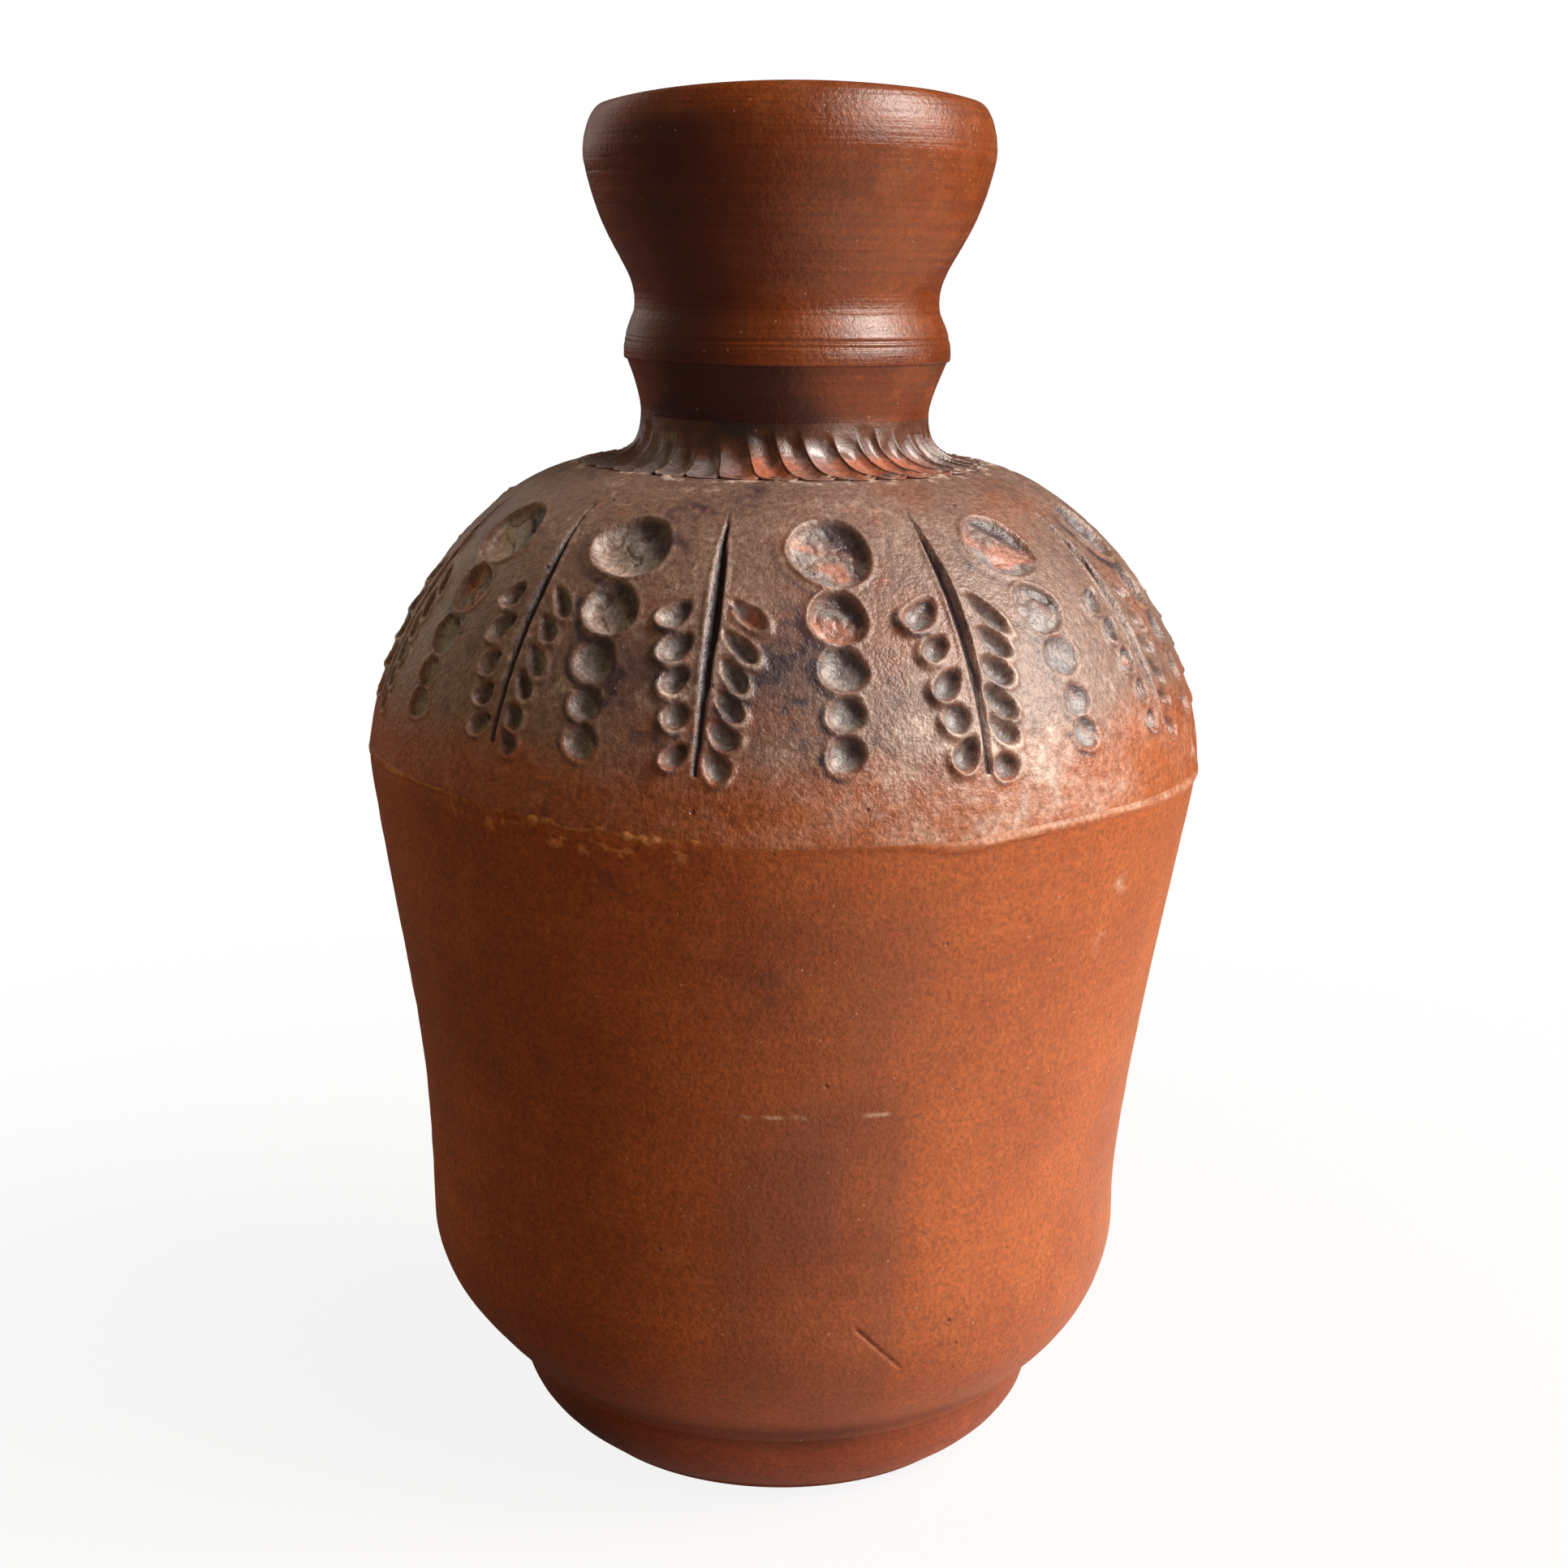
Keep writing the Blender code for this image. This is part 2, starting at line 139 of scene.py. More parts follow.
def lattice_noise(points: Array, cell: float, seed: int) -> Array:
    """Smooth random field from -1 to 1: hashed values at lattice corners, blended by a cubic fade.

    Args:
        points: Places in millimetres, with x, y and z on the last axis.
        cell: Spacing of the lattice in millimetres.
        seed: Which of the fields to take.

    Returns:
        The field at every place.
    """
    scaled = points / cell
    corner = np.floor(scaled).astype(np.int64)
    share = scaled - corner
    fade = share * share * (3.0 - 2.0 * share)
    total = np.zeros(points.shape[:-1])
    for steps in itertools.product((0, 1), repeat=3):
        spot = corner + np.array(steps)
        key = spot[..., 0] * 73856093 ^ spot[..., 1] * 19349663 ^ spot[..., 2] * 83492791 ^ seed * 26544357
        key = ((key ^ (key >> 13)) * 1274126177) & 0xFFFFFFFF
        value = ((key ^ (key >> 16)) & 0xFFFF) / 32767.5 - 1.0
        total += value * np.prod(np.where(steps, fade, 1.0 - fade), axis=-1)
    return total


@dataclass(frozen=True)
class Bell:
    """A soft patch along one measure: full at its centre, fading to both sides."""

    centre: float
    spread: float
    amount: float = 1.0

    def at(self, value: Array) -> Array:
        """Amount at each value."""
        return self.amount * hump(value, self.centre, self.spread)


@dataclass(frozen=True)
class Span:
    """A patch along one measure: it rises between the first two values and falls between the last two."""

    rise_from: float
    full_from: float
    full_to: float
    fall_to: float
    amount: float = 1.0

    def at(self, value: Array) -> Array:
        """Amount at each value."""
        fall = 1 - ease(value, self.full_to, self.fall_to)
        return self.amount * ease(value, self.rise_from, self.full_from) * fall


@dataclass(frozen=True)
class Noise:
    """A random field: spacing of its lattice in millimetres, which one it is, and its strength."""

    cell: float
    seed: int
    amount: float = 1.0

    def at(self, places: Array) -> Array:
        """Value at each place, from minus the strength to the strength."""
        return self.amount * lattice_noise(places, self.cell, self.seed)


def noise_sum(noises: tuple, places: Array) -> Array:
    """Sum of several random fields at each place."""
    return sum(noise.at(places) for noise in noises)


def patch(bells: tuple, across: Array, down: Array) -> Array:
    """A soft patch on a surface, from one bell across it and one down it."""
    return bells[0].at(across) * bells[1].at(down)


def turned(radius: Array, height: Array, angle: Array) -> Array:
    """Points at these radii and heights around the axis; the arrays broadcast together."""
    radius, height, angle = np.broadcast_arrays(radius, height, angle)
    return np.stack([radius * np.sin(angle), -radius * np.cos(angle), height], axis=-1)


def turned_path(path: Array, angle: Array) -> Array:
    """Points of a path, carried to every angle."""
    return turned(path[:, :1], path[:, 1:], angle)


def columns_around(count: int, start: float = -math.pi) -> Array:
    """Angles of evenly spaced columns for a full turn, without the repeated last one."""
    return start + math.tau * np.arange(count) / count


@dataclass(frozen=True)
class VaseSizes:
    """Heights and radii of the vase in millimetres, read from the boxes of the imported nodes."""

    crease_height: float
    foot_radius: float
    seam_height: float
    seam_radius: float
    shelf_height: float
    collar_radius: float
    collar_top: float
    stem_top_radius: float
    ring_low: float
    ring_top: float
    lip_low: float
    rim_height: float
    mouth_radius: float
    coil_proud: float = 0.4
    slip: float = 0.3

    @classmethod
    def from_frame(cls) -> "VaseSizes":
        """Takes each size from the corners of the node that has it.

        Returns:
            The sizes.
        """
        low, high = {}, {}
        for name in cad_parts:
            low[name], high[name] = (np.array(corner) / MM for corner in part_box(name))
        return cls(
            crease_height=low["lower_body"][2],
            foot_radius=high["foot_ring"][0],
            seam_height=(low["seam_coil"][2] + high["seam_coil"][2]) / 2,
            seam_radius=high["seam_coil"][0] - cls.coil_proud,
            shelf_height=low["collar"][2] - cls.slip,
            collar_radius=high["collar"][0],
            collar_top=high["collar"][2],
            stem_top_radius=high["neck"][0],
            ring_low=low["neck_ring"][2],
            ring_top=high["neck_ring"][2],
            lip_low=low["lip"][2],
            rim_height=high["lip"][2],
            mouth_radius=high["mouth_cup"][0],
        )


@dataclass(frozen=True)
class HandMade:
    """How far the vase strays from a true turned shape, as seen from the front.

    Each lean is a bell by height, whose amount is a sideways shift: the axis bends by their sum.
    The seam runs through points of (degrees, height) that were read off.
    """

    leans: tuple = (Bell(4, 11, 0.8), Bell(23, 7, 0.6), Bell(48, 18, -0.6), Bell(145, 30, 0.4),
                    Bell(172, 6, -0.5), Bell(186, 8, -0.4), Bell(213, 10, -0.35))
    rim_saddle: float = 1.0
    rim_roll: float = 0.5
    rim_from: float = 214.0
    seam_points: tuple = (
        (-150, 128.0), (-100, 128.3), (-66, 129.4), (-51, 129.9), (-38, 128.9), (-27, 127.8),
        (-15, 127.1), (0, 126.6), (13, 126.9), (22, 125.9), (28, 126.8), (36, 127.6), (46, 128.0),
        (67, 127.4), (100, 127.0), (140, 126.4),
    )
    seam_reach: float = 13.0
    seam_smoothing: int = 11

    def seam_wave(self, angle: Array, seam_height: float) -> Array:
        """Height of the seam above its mean, as a smoothed line through its points.

        Args:
            angle: Angles around the axis.
            seam_height: The seam's mean height.

        Returns:
            How far the seam is above its mean at each angle.
        """
        degrees, heights = np.array(self.seam_points).T
        fine = np.arange(-180.0, 180.0, 0.5)
        line = np.interp(fine, degrees, heights, period=360.0) - seam_height
        window = np.hanning(self.seam_smoothing)
        line = np.pad(line, self.seam_smoothing // 2, mode="wrap")
        line = np.convolve(line, window / window.sum(), mode="valid")
        return np.interp(degrees_right(angle), fine, line, period=360.0)

    def follow_seam(self, rows: Array, angle: Array, seam_height: float) -> Array:
        """Heights of level rows after those near the seam have been moved with its wave."""
        return rows + self.seam_wave(angle, seam_height) * hump(rows, seam_height, self.seam_reach)

    def bend(self, points: Array, rim_height: float) -> Array:
        """Leans the axis sideways and warps the rim: two waves around it, and one side higher.

        Args:
            points: Grid of points, changed in place.
            rim_height: Height at which the rim's warp is full.

        Returns:
            The same grid.
        """
        height = points[..., 2].copy()
        angle = np.arctan2(points[..., 0], -points[..., 1])
        warp = self.rim_saddle * np.cos(2 * angle) + self.rim_roll * np.sin(angle)
        points[..., 2] += warp * ease(height, self.rim_from, rim_height)
        for lean in self.leans:
            points[..., 0] += lean.at(height)
        return points


@dataclass(frozen=True)
class CreaseSmokeAndShade:
    """Smoke and painted shade above the foot: a band in the crease, partly smoke and partly painted shade,
    heaviest in front, and painted shade over the foot's left side.
    """

    # The band in the crease: partly smoke, partly shade painted in the hollow
    band: Bell = Bell(-1.5, 4.4)
    all_round: float = 0.55
    front: Bell = Bell(8.0, 26.0, 0.45)
    # Painted shade over the foot's left side
    left: Bell = Bell(-66.0, 46.0, 0.85)
    left_fade: tuple = (-3.5, 1.0)
    mean: float = 0.85
    patches: Noise = Noise(18.0, 21, 0.4)

    def at(self, above: Array, degrees: Array, places: Array) -> Array:
        """Amount of smoke and painted shade.

        Args:
            above: Height above the crease.
            degrees: Degrees to the right of the front.
            places: Points, for the patches.

        Returns:
            The amount at each point.
        """
        band = self.band.at(above) * (self.all_round + self.front.at(degrees))
        side = self.left.at(degrees) * (1 - ease(above, *self.left_fade))
        return np.maximum(band, side) * (self.mean + self.patches.at(places))


class TurnedGrid:
    """A closed grid of points and the stains on it, ready to become a mesh."""

    def __init__(self, points: Array, sharp_rows: tuple = (), whole_turn: bool = True) -> None:
        """Keeps the points.

        Args:
            points: Rows by columns by 3; the rows form a loop, run down the outer side.
            sharp_rows: Rows along which the shading breaks, such as a joint's hidden edge.
            whole_turn: False for a sector, which gets a flat face at each end.
        """
        self.points = points
        self.sharp_rows = sharp_rows
        self.whole_turn = whole_turn
        self.stains = {stain: np.zeros(points.shape[:2]) for stain in Stain}

    def write(self, name: str) -> bpy.types.Object:
        """Makes the mesh object: four-sided faces between rows and columns, shaded smooth.

        Args:
            name: Name of the mesh and of its object.

        Returns:
            The object, linked to the scene.
        """
        rows, columns = self.points.shape[:2]
        index = np.arange(rows * columns).reshape(rows, columns)
        below = np.roll(index, -1, axis=0)
        if self.whole_turn:
            beside, low_beside = np.roll(index, -1, axis=1), np.roll(below, -1, axis=1)
        else:
            index, beside = index[:, :-1], index[:, 1:]
            below, low_beside = below[:, :-1], below[:, 1:]
        faces = np.stack([index, below, low_beside, beside], axis=-1).reshape(-1, 4).tolist()
        if not self.whole_turn:
            faces.append([row * columns for row in range(rows)][::-1])
            faces.append([row * columns + columns - 1 for row in range(rows)])
        mesh = bpy.data.meshes.new(name)
        mesh.from_pydata((self.points.reshape(-1, 3) * MM).tolist(), [], faces)
        mesh.shade_smooth()
        self.mark_sharp(mesh, columns)
        for stain, amount in self.stains.items():
            layer = mesh.attributes.new(stain.value, "FLOAT", "POINT")
            layer.data.foreach_set("value", np.clip(amount, 0.0, 1.0).astype(np.float32).ravel())
        piece = bpy.data.objects.new(name, mesh)
        bpy.context.scene.collection.objects.link(piece)
        return piece

    def mark_sharp(self, mesh: bpy.types.Mesh, columns: int) -> None:
        """Marks the edges along the sharp rows, and a sector's two ends.

        Args:
            mesh: The mesh, with its points in the order of the grid.
            columns: Number of columns in the grid.
        """
        ends = np.empty(len(mesh.edges) * 2, np.int64)
        mesh.edges.foreach_get("vertices", ends)
        row, column = np.divmod(ends.reshape(-1, 2), columns)
        sharp = (row[:, 0] == row[:, 1]) & np.isin(row[:, 0], self.sharp_rows)
        if not self.whole_turn:
            edge_column = np.isin(column[:, 0], (0, columns - 1))
            sharp |= (column[:, 0] == column[:, 1]) & edge_column
        mesh.attributes.new("sharp_edge", "BOOLEAN", "EDGE").data.foreach_set("value", sharp)


def add_node(tree: Tree, kind: str, inputs: tuple | dict = (), output: str | int = 0, **settings) -> Socket:
    """Adds a node with its settings and links.

    Args:
        tree: Where it goes.
        kind: Blender's name of the node type, without the ShaderNode before it.
        inputs: Value, or socket to link from, for each input in order, or by name or number.
        output: Name or number of the output that is wanted.
        settings: Values of the node's own properties.

    Returns:
        The wanted output.
    """
    made = tree.nodes.new(f"ShaderNode{kind}")
    for name, value in settings.items():
        setattr(made, name, value)
    for key, value in inputs.items() if isinstance(inputs, dict) else enumerate(inputs):
        if isinstance(value, Socket):
            tree.links.new(value, made.inputs[key])
        else:
            made.inputs[key].default_value = value
    return made.outputs[output]


def linear(colour: str) -> tuple:
    """Linear RGBA of an sRGB hex colour."""
    shares = (int(colour[place : place + 2], 16) / 255 for place in (1, 3, 5))
    return (*(s / 12.92 if s <= 0.04045 else ((s + 0.055) / 1.055) ** 2.4 for s in shares), 1.0)


def per_metre(size_mm: float) -> float:
    """Texture scale on metre coordinates for a pattern of that size."""
    return 1000.0 / size_mm


@dataclass(frozen=True)
class Terracotta:
    """Low-fired red earthenware, turned on a wheel and rubbed smooth with a stone before firing.

    The eye gets a matt orange-brown body with a soft broad sheen, clouds of lighter and darker
    fire marks, fine turning lines, a sandy grain with a few mica specks, and smoke in places.
    A size in millimetres is that of one pattern. The grain and the lines are finer in real clay,
    and are drawn as coarse as they need to show. A range holds the two values of a texture between
    which its effect grows. A stain's edge is as ragged as its textures make it, and from the
    covered amount on a stain hides the clay.
    """

    title: str
    body: str
    deep: str
    pale: str
    ash: str = "#987468"
    # Colour of smoke, also used for painted shade
    soot_and_shade: str = "#453638"
    grey: str = "#7C716C"
    # Colour of bare clay, also used for the seam's painted highlight
    bare: str = "#B9705A"
    # Colour of pale crumbs and chips, also used for painted sheen and highlights
    dust_and_sheen: str = "#CDB199"
    mica: str = "#E3BE9C"
    pit: str = "#35160C"
    roughness: float = 0.48
    roughness_swing: float = 0.07
    specular: float = 0.45
    cloud_mm: float = 34.0
    cloud_range: tuple = (0.38, 0.66)
    mottle_mm: float = 7.0
    mottle_range: tuple = (0.48, 0.74)
    mottle_share: float = 0.55
    ragged: float = 0.8
    covered: float = 0.9
    swing_range: tuple = (0.3, 0.7)
    grain_mm: float = 0.85
    grain_tone: float = 0.30
    grain_depth_mm: float = 0.08
    line_mm: float = 0.8
    line_length_mm: float = 45.0
    line_tone: float = 0.10
    line_depth_mm: float = 0.03
    speck_mm: float = 1.9
    speck_tone: float = 0.35
    speck_edge: tuple = (0.13, 0.06)
    speck_rarity: float = 0.72
    pit_mm: float = 6.0
    pit_tone: float = 0.5
    pit_edge: tuple = (0.085, 0.045)
    pit_rarity: float = 0.6

    def material(self) -> bpy.types.Material:
        """Builds the node material.

        Clouds mix the body colour with the deep one, mottles add the pale one, then each stain
        covers what is below it, its edge broken up by the grain. Specks and pits come last.

        Returns:
            The material.
        """
        made = bpy.data.materials.new(self.title)
        made.use_nodes = True
        tree = made.node_tree
        shader = tree.nodes["Principled BSDF"]
        place = add_node(tree, "TexCoord", output="Object")
        patterns = ((self.cloud_mm, 4.0, 0.6), (self.mottle_mm, 5.0, 0.65), (self.grain_mm, 2.0, 0.7))
        cloud, mottle, grain = (
            add_node(tree, "TexNoise", {"Vector": place, "Scale": per_metre(size), "Detail": detail,
                                        "Roughness": roughness}) for size, detail, roughness in patterns)
        stretch = (per_metre(self.line_length_mm), per_metre(self.line_length_mm), per_metre(self.line_mm))
        flat = add_node(tree, "Mapping", {"Vector": place, "Scale": stretch})
        lines = add_node(tree, "TexNoise", {"Vector": flat, "Scale": 1.0, "Detail": 3.0})
        colour = self.stained(tree, self.fired(tree, cloud, mottle), mottle, grain)
        tones = tuple(add_node(tree, "MapRange", (source, *self.swing_range, 1.0 - tone, 1.0 + tone))
                      for source, tone in ((lines, self.line_tone), (grain, self.grain_tone)))
        tone = add_node(tree, "Math", tones, operation="MULTIPLY")
        colour = add_node(tree, "Mix", {0: 1.0, 6: colour, 7: tone}, blend_type="MULTIPLY", **COLOURS)
        colour, _ = self.dotted(tree, place, colour, self.speck_mm, self.speck_edge, self.speck_tone,
                                self.speck_rarity, self.mica)
        colour, pits = self.dotted(tree, place, colour, self.pit_mm, self.pit_edge, self.pit_tone,
                                   self.pit_rarity, self.pit)
        tree.links.new(colour, shader.inputs["Base Color"])
        swing = (self.roughness - self.roughness_swing, self.roughness + self.roughness_swing)
        roughness = add_node(tree, "MapRange", (mottle, *self.swing_range, *swing))
        tree.links.new(roughness, shader.inputs["Roughness"])
        shader.inputs["Specular IOR Level"].default_value = self.specular
        height = add_node(tree, "Math", (grain, self.grain_depth_mm * MM), operation="MULTIPLY")
        for source, depth in ((lines, self.line_depth_mm), (pits, -2 * self.grain_depth_mm)):
            height = add_node(tree, "Math", (source, depth * MM, height), operation="MULTIPLY_ADD")
        bump = add_node(tree, "Bump", {"Height": height, "Distance": 1.0, "Strength": 1.0})
        tree.links.new(bump, shader.inputs["Normal"])
        return made

    def fired(self, tree: Tree, cloud: Socket, mottle: Socket) -> Socket:
        """Colour of the clean clay.

        Args:
            tree: The material's nodes.
            cloud: Texture of the deep fire clouds.
            mottle: Texture of the pale mottles.

        Returns:
            The body colour with both.
        """
        fire = add_node(tree, "MapRange", (cloud, *self.cloud_range))
        colour = add_node(tree, "Mix", {0: fire, 6: linear(self.body), 7: linear(self.deep)}, **COLOURS)
        bright = add_node(tree, "MapRange", (mottle, *self.mottle_range, 0.0, self.mottle_share))
        return add_node(tree, "Mix", {0: bright, 6: colour, 7: linear(self.pale)}, **COLOURS)

    def stained(self, tree: Tree, colour: Socket, mottle: Socket, grain: Socket) -> Socket:
        """Lays the five layers over a colour: stains, with painted shade and painted highlights among them.

        Args:
            tree: The material's nodes.
            colour: What the stains cover.
            mottle, grain: Textures whose sum breaks up each stain's edge.

        Returns:
            The stained colour.
        """
        rough = add_node(tree, "Math", (mottle, grain), operation="ADD")
        broken = add_node(tree, "Math", (rough, self.ragged, -self.ragged), operation="MULTIPLY_ADD")
        for stain in Stain:
            amount = add_node(tree, "Attribute", output="Fac", attribute_name=stain.value)
            shifted = add_node(tree, "Math", (amount, broken), operation="ADD")
            held = add_node(tree, "Math", (shifted, amount), operation="MULTIPLY")
            share = add_node(tree, "MapRange", (held, 0.0, self.covered))
            tint = linear(getattr(self, stain.value))
            colour = add_node(tree, "Mix", {0: share, 6: colour, 7: tint}, **COLOURS)
        return colour

    def dotted(self, tree: Tree, place: Socket, colour: Socket, size_mm: float, edge: tuple, tone: float,
               rarity: float, tint: str) -> tuple:
        """Adds small discs around some of a set of scattered points.

        Args:
            tree: The material's nodes.
            place: Object coordinates.
            colour: What the discs lie on.
            size_mm: Mean spacing of the points.
            edge: Distances, in spacings, at which a disc ends and at which it is full.
            tone: How strongly a disc covers the colour.
            rarity: A point gets a disc if its random colour is brighter than this.
            tint: The discs' colour.

        Returns:
            The dotted colour, and how much of a disc is at a place.
        """
        cells = add_node(tree, "TexVoronoi", {"Vector": place, "Scale": per_metre(size_mm)}).node.outputs
        chosen = add_node(tree, "Math", (cells["Color"], rarity), operation="GREATER_THAN")
        disc = add_node(tree, "MapRange", (cells["Distance"], *edge, 0.0, tone))
        disc = add_node(tree, "Math", (chosen, disc), operation="MULTIPLY")
        return add_node(tree, "Mix", {0: disc, 6: colour, 7: linear(tint)}, **COLOURS), disc


# Orange wall, lightly burnished: sandy, with a low sheen
BODY_CLAY = Terracotta("burnished orange terracotta", "#AE5C29", "#984B1E", "#BC6C37", soot_and_shade="#4C2E32",
                       bare="#D48850", specular=0.7, line_tone=0.06, grain_tone=0.32, grain_depth_mm=0.16,
                       line_depth_mm=0.05, speck_tone=0.5)
# Redder and duller than the wall, almost black where smoke lay in the crease and where shade is painted over
# its left side
FOOT_CLAY = Terracotta("foot terracotta with smoke and painted shade", "#A45434", "#8C4426", "#B26844", soot_and_shade="#381C16",
                       line_tone=0.05)
# Grey-brown ash over orange clay, rough and glinting, with grey print floors
SMOKED_CLAY = Terracotta("smoked terracotta with pressed prints", "#B0602F", "#9C5228", "#BC8064",
                         ash="#8E6F61", soot_and_shade="#443138", grey="#929296", bare="#C27C66", dust_and_sheen="#D2B8AA",
                         roughness=0.44, specular=1.0, speck_mm=1.5, speck_tone=0.6, grain_mm=1.05,
                         line_tone=0.05, grain_tone=0.36, grain_depth_mm=0.26)
# Dry slip: a pale bead at the right, pale partly from slip and partly from a highlight painted along its lit
# upper edge; ochre crumbs at the left
SEAM_CLAY = Terracotta("dry terracotta slip at the seam", "#B0602F", "#A85A2A", "#C68450", bare="#DCB49C",
                       dust_and_sheen="#D2925C", roughness=0.5)
# Dark brown, scraped to shiny grey and red tongues
COLLAR_CLAY = Terracotta("smoked terracotta cut in flutes", "#6E3C26", "#56301F", "#80503A", soot_and_shade="#33221C",
                         grey="#8A8080", bare="#C07458", roughness=0.31, specular=1.0)
# Red-brown, turned in fine lines and rubbed to a satin sheen; its deepest colour is the shade painted on its
# left
NECK_CLAY = Terracotta("burnished red-brown terracotta", "#8E4415", "#70300A", "#A05829", soot_and_shade="#3C0C03",
                       roughness=0.36, specular=0.85, line_tone=0.18, grain_tone=0.24, grain_depth_mm=0.13,
                       line_depth_mm=0.14)
# Bare matt clay that nobody rubbed
INNER_CLAY = Terracotta("bare terracotta inside", "#9C5A38", "#84452A", "#AC6C48", roughness=0.70)


def place_piece(grid: TurnedGrid, name: str, node: str, material: bpy.types.Material) -> None:
    """Writes a grid as a piece that rides on the vase, replaces its node and takes the given finish.

    Args:
        grid: The piece's points and stains.
        name: The piece's name.
        node: Node of the frame that it stands for.
        material: The piece's finish.
    """
    piece = grid.write(name)
    piece.data.materials.append(material)
    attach(piece, "root")
    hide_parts(node)
    log.info("%s: %d points, stands for %s", name, len(piece.data.vertices), node)


@dataclass
class OuterWall:
    """The turned wall from the crease above the foot up to the collar's edge, by height.

    The belly is the wall's narrow place, at a height above the crease. The crease's radius is where
    the turn below the belly ends. The fillet is how far the clay smoothed over the crease runs
    inwards and down to the foot. Each of the wall's curves gets as many points as the count.
    """

    sizes: VaseSizes
    belly_radius: float = 63.5
    belly_height: float = 24.5
    crease_radius: float = 50.0
    fillet: tuple = (2.1, 2.9)
    count: int = 400

    def __post_init__(self) -> None:
        """Joins four cubic curves: the dome, the flared wall, the turn under the belly and a fillet."""
        sizes, low, (inward, drop) = self.sizes, self.belly_height, self.fillet
        collar = (sizes.collar_radius, sizes.shelf_height)
        seam = (sizes.seam_radius, sizes.seam_height)
        belly = (self.belly_radius, sizes.crease_height + low)
        crease = (self.crease_radius, sizes.crease_height)
        foot = (self.crease_radius - inward, sizes.crease_height - drop)
        width, high, rise = seam[0] - collar[0], collar[1] - seam[1], seam[1] - belly[1]
        dome = cubic(collar, (0.50 * width, -0.05 * high), (0.02 * high, 0.35 * high), seam, self.count)
        wall = cubic(seam, (-0.05 * rise, -0.35 * rise), (0.0, 0.35 * rise), belly, self.count)
        turn = cubic(belly, (0.0, -0.41 * low), (0.27 * low, 0.23 * low), crease, self.count)
        hollow = cubic(crease, (-0.45 * drop, -0.38 * drop), (0.0, 0.3 * drop), foot, self.count)
        path = np.concatenate([dome, wall[1:], turn[1:], hollow[1:]])[::-1]
        along = directions(path)
        steps = np.linalg.norm(np.diff(path, axis=0), axis=1)
        self.radii, self.heights = path.T
        self.outs, self.ups = along[:, 1], -along[:, 0]
        self.lengths = np.concatenate([[0.0], np.cumsum(steps)])

    def at(self, height: Array, relief: Array | float = 0.0) -> tuple:
        """Radius and height of the wall at a height, moved along its normal by the relief.

        Args:
            height: Heights on the plain wall.
            relief: How far the surface stands over the plain wall.

        Returns:
            The moved radii and heights.
        """
        radius = np.interp(height, self.heights, self.radii)
        out, up = (np.interp(height, self.heights, table) for table in (self.outs, self.ups))
        return radius + out * relief, height + up * relief

    def down_at(self, height: Array) -> Array:
        """Distance along the wall from the collar's edge down to a height."""
        return self.lengths[-1] - np.interp(height, self.heights, self.lengths)

    def height_at(self, down: Array) -> Array:
        """Height at a distance along the wall, down from the collar's edge."""
        return np.interp(self.lengths[-1] - down, self.lengths, self.heights)

    def inner_rows(self, thickness: float, low: float, high: float, count: int) -> Array:
        """Path of the wall's inner side.

        Args:
            thickness: Thickness of the wall.
            low, high: Heights between which the path runs, upwards.
            count: About how many rows it gets.

        Returns:
            The path.
        """
        inner = offset_inwards(np.stack([self.radii, self.heights], axis=1)[::-1], thickness)
        inner = inner[(inner[:, 1] > low) & (inner[:, 1] < high)]
        return inner[:: max(1, len(inner) // count)][::-1]


@dataclass
class Section:
    """A clay section, made by hand to the vase's sizes."""

    sizes: VaseSizes
    hand: HandMade

    def closed(self, outer: Array, hidden: Array, angle: Array, sharp_rows: tuple) -> TurnedGrid:
        """Grid of outer points and a plain hidden path that joins the last row to the first, bent by hand."""
        points = np.concatenate([outer, turned_path(hidden, angle)])
        return TurnedGrid(self.hand.bend(points, self.sizes.rim_height), sharp_rows)


@dataclass
class Foot(Section):
    """The ring that the vase stands on: a rounded taper below the crease, with a tongue on its top."""

    top_drop: float = 2.8
    top_inset: float = 1.13
    taper: float = 11.2
    width: float = 11.2
    ease_radius: float = 0.8
    bore_ease: float = 1.0
    tongue: float = 2.5
    tongue_inset: float = 6.0
    joint_edge: tuple = (0.9, 0.8)
    columns: int = 420
    swells: tuple = (Noise(14.0, 3, 0.12), Noise(3.0, 4, 0.05))

    def build(self) -> None:
        """Turns the foot's outline and lays smoke and painted shade in the crease and over its left side."""
        top, radius = self.sizes.crease_height - self.top_drop, self.sizes.foot_radius - self.top_inset
        base = self.sizes.foot_radius - self.taper
        outer = cubic((radius, top), (0.0, -0.45 * top), (0.40 * self.taper, 0.18 * top),
                      (base, self.ease_radius), 44)
        bottom = [(base - 0.3 * self.ease_radius, 0.3 * self.ease_radius), (base - self.ease_radius, 0.0)]
        bore, tongue_top = base - self.width, top + self.tongue
        inset, rise = self.joint_edge
        hidden = np.array(bottom + [
            (bore + self.bore_ease, 0.0), (bore, self.bore_ease), (bore, tongue_top),
            (radius - self.tongue_inset, tongue_top), (radius - inset, top + rise)])
        path = np.concatenate([outer, hidden])
        angle = columns_around(self.columns)[None, :]
        places = turned_path(path, angle)
        swell = noise_sum(self.swells, places[: len(outer)])
        swelled = turned(outer[:, :1] + swell, outer[:, 1:], angle)
        grid = self.closed(swelled, hidden, angle, (0, len(path) - 1))
        above = path[:, 1:] - self.sizes.crease_height
        # Smoke and painted shade at the crease, and painted shade over the foot's left side
        grid.stains[Stain.SOOT] += CreaseSmokeAndShade().at(above, degrees_right(angle), places)
        place_piece(grid, "foot_ring_turned", "foot_ring", FOOT_CLAY.material())


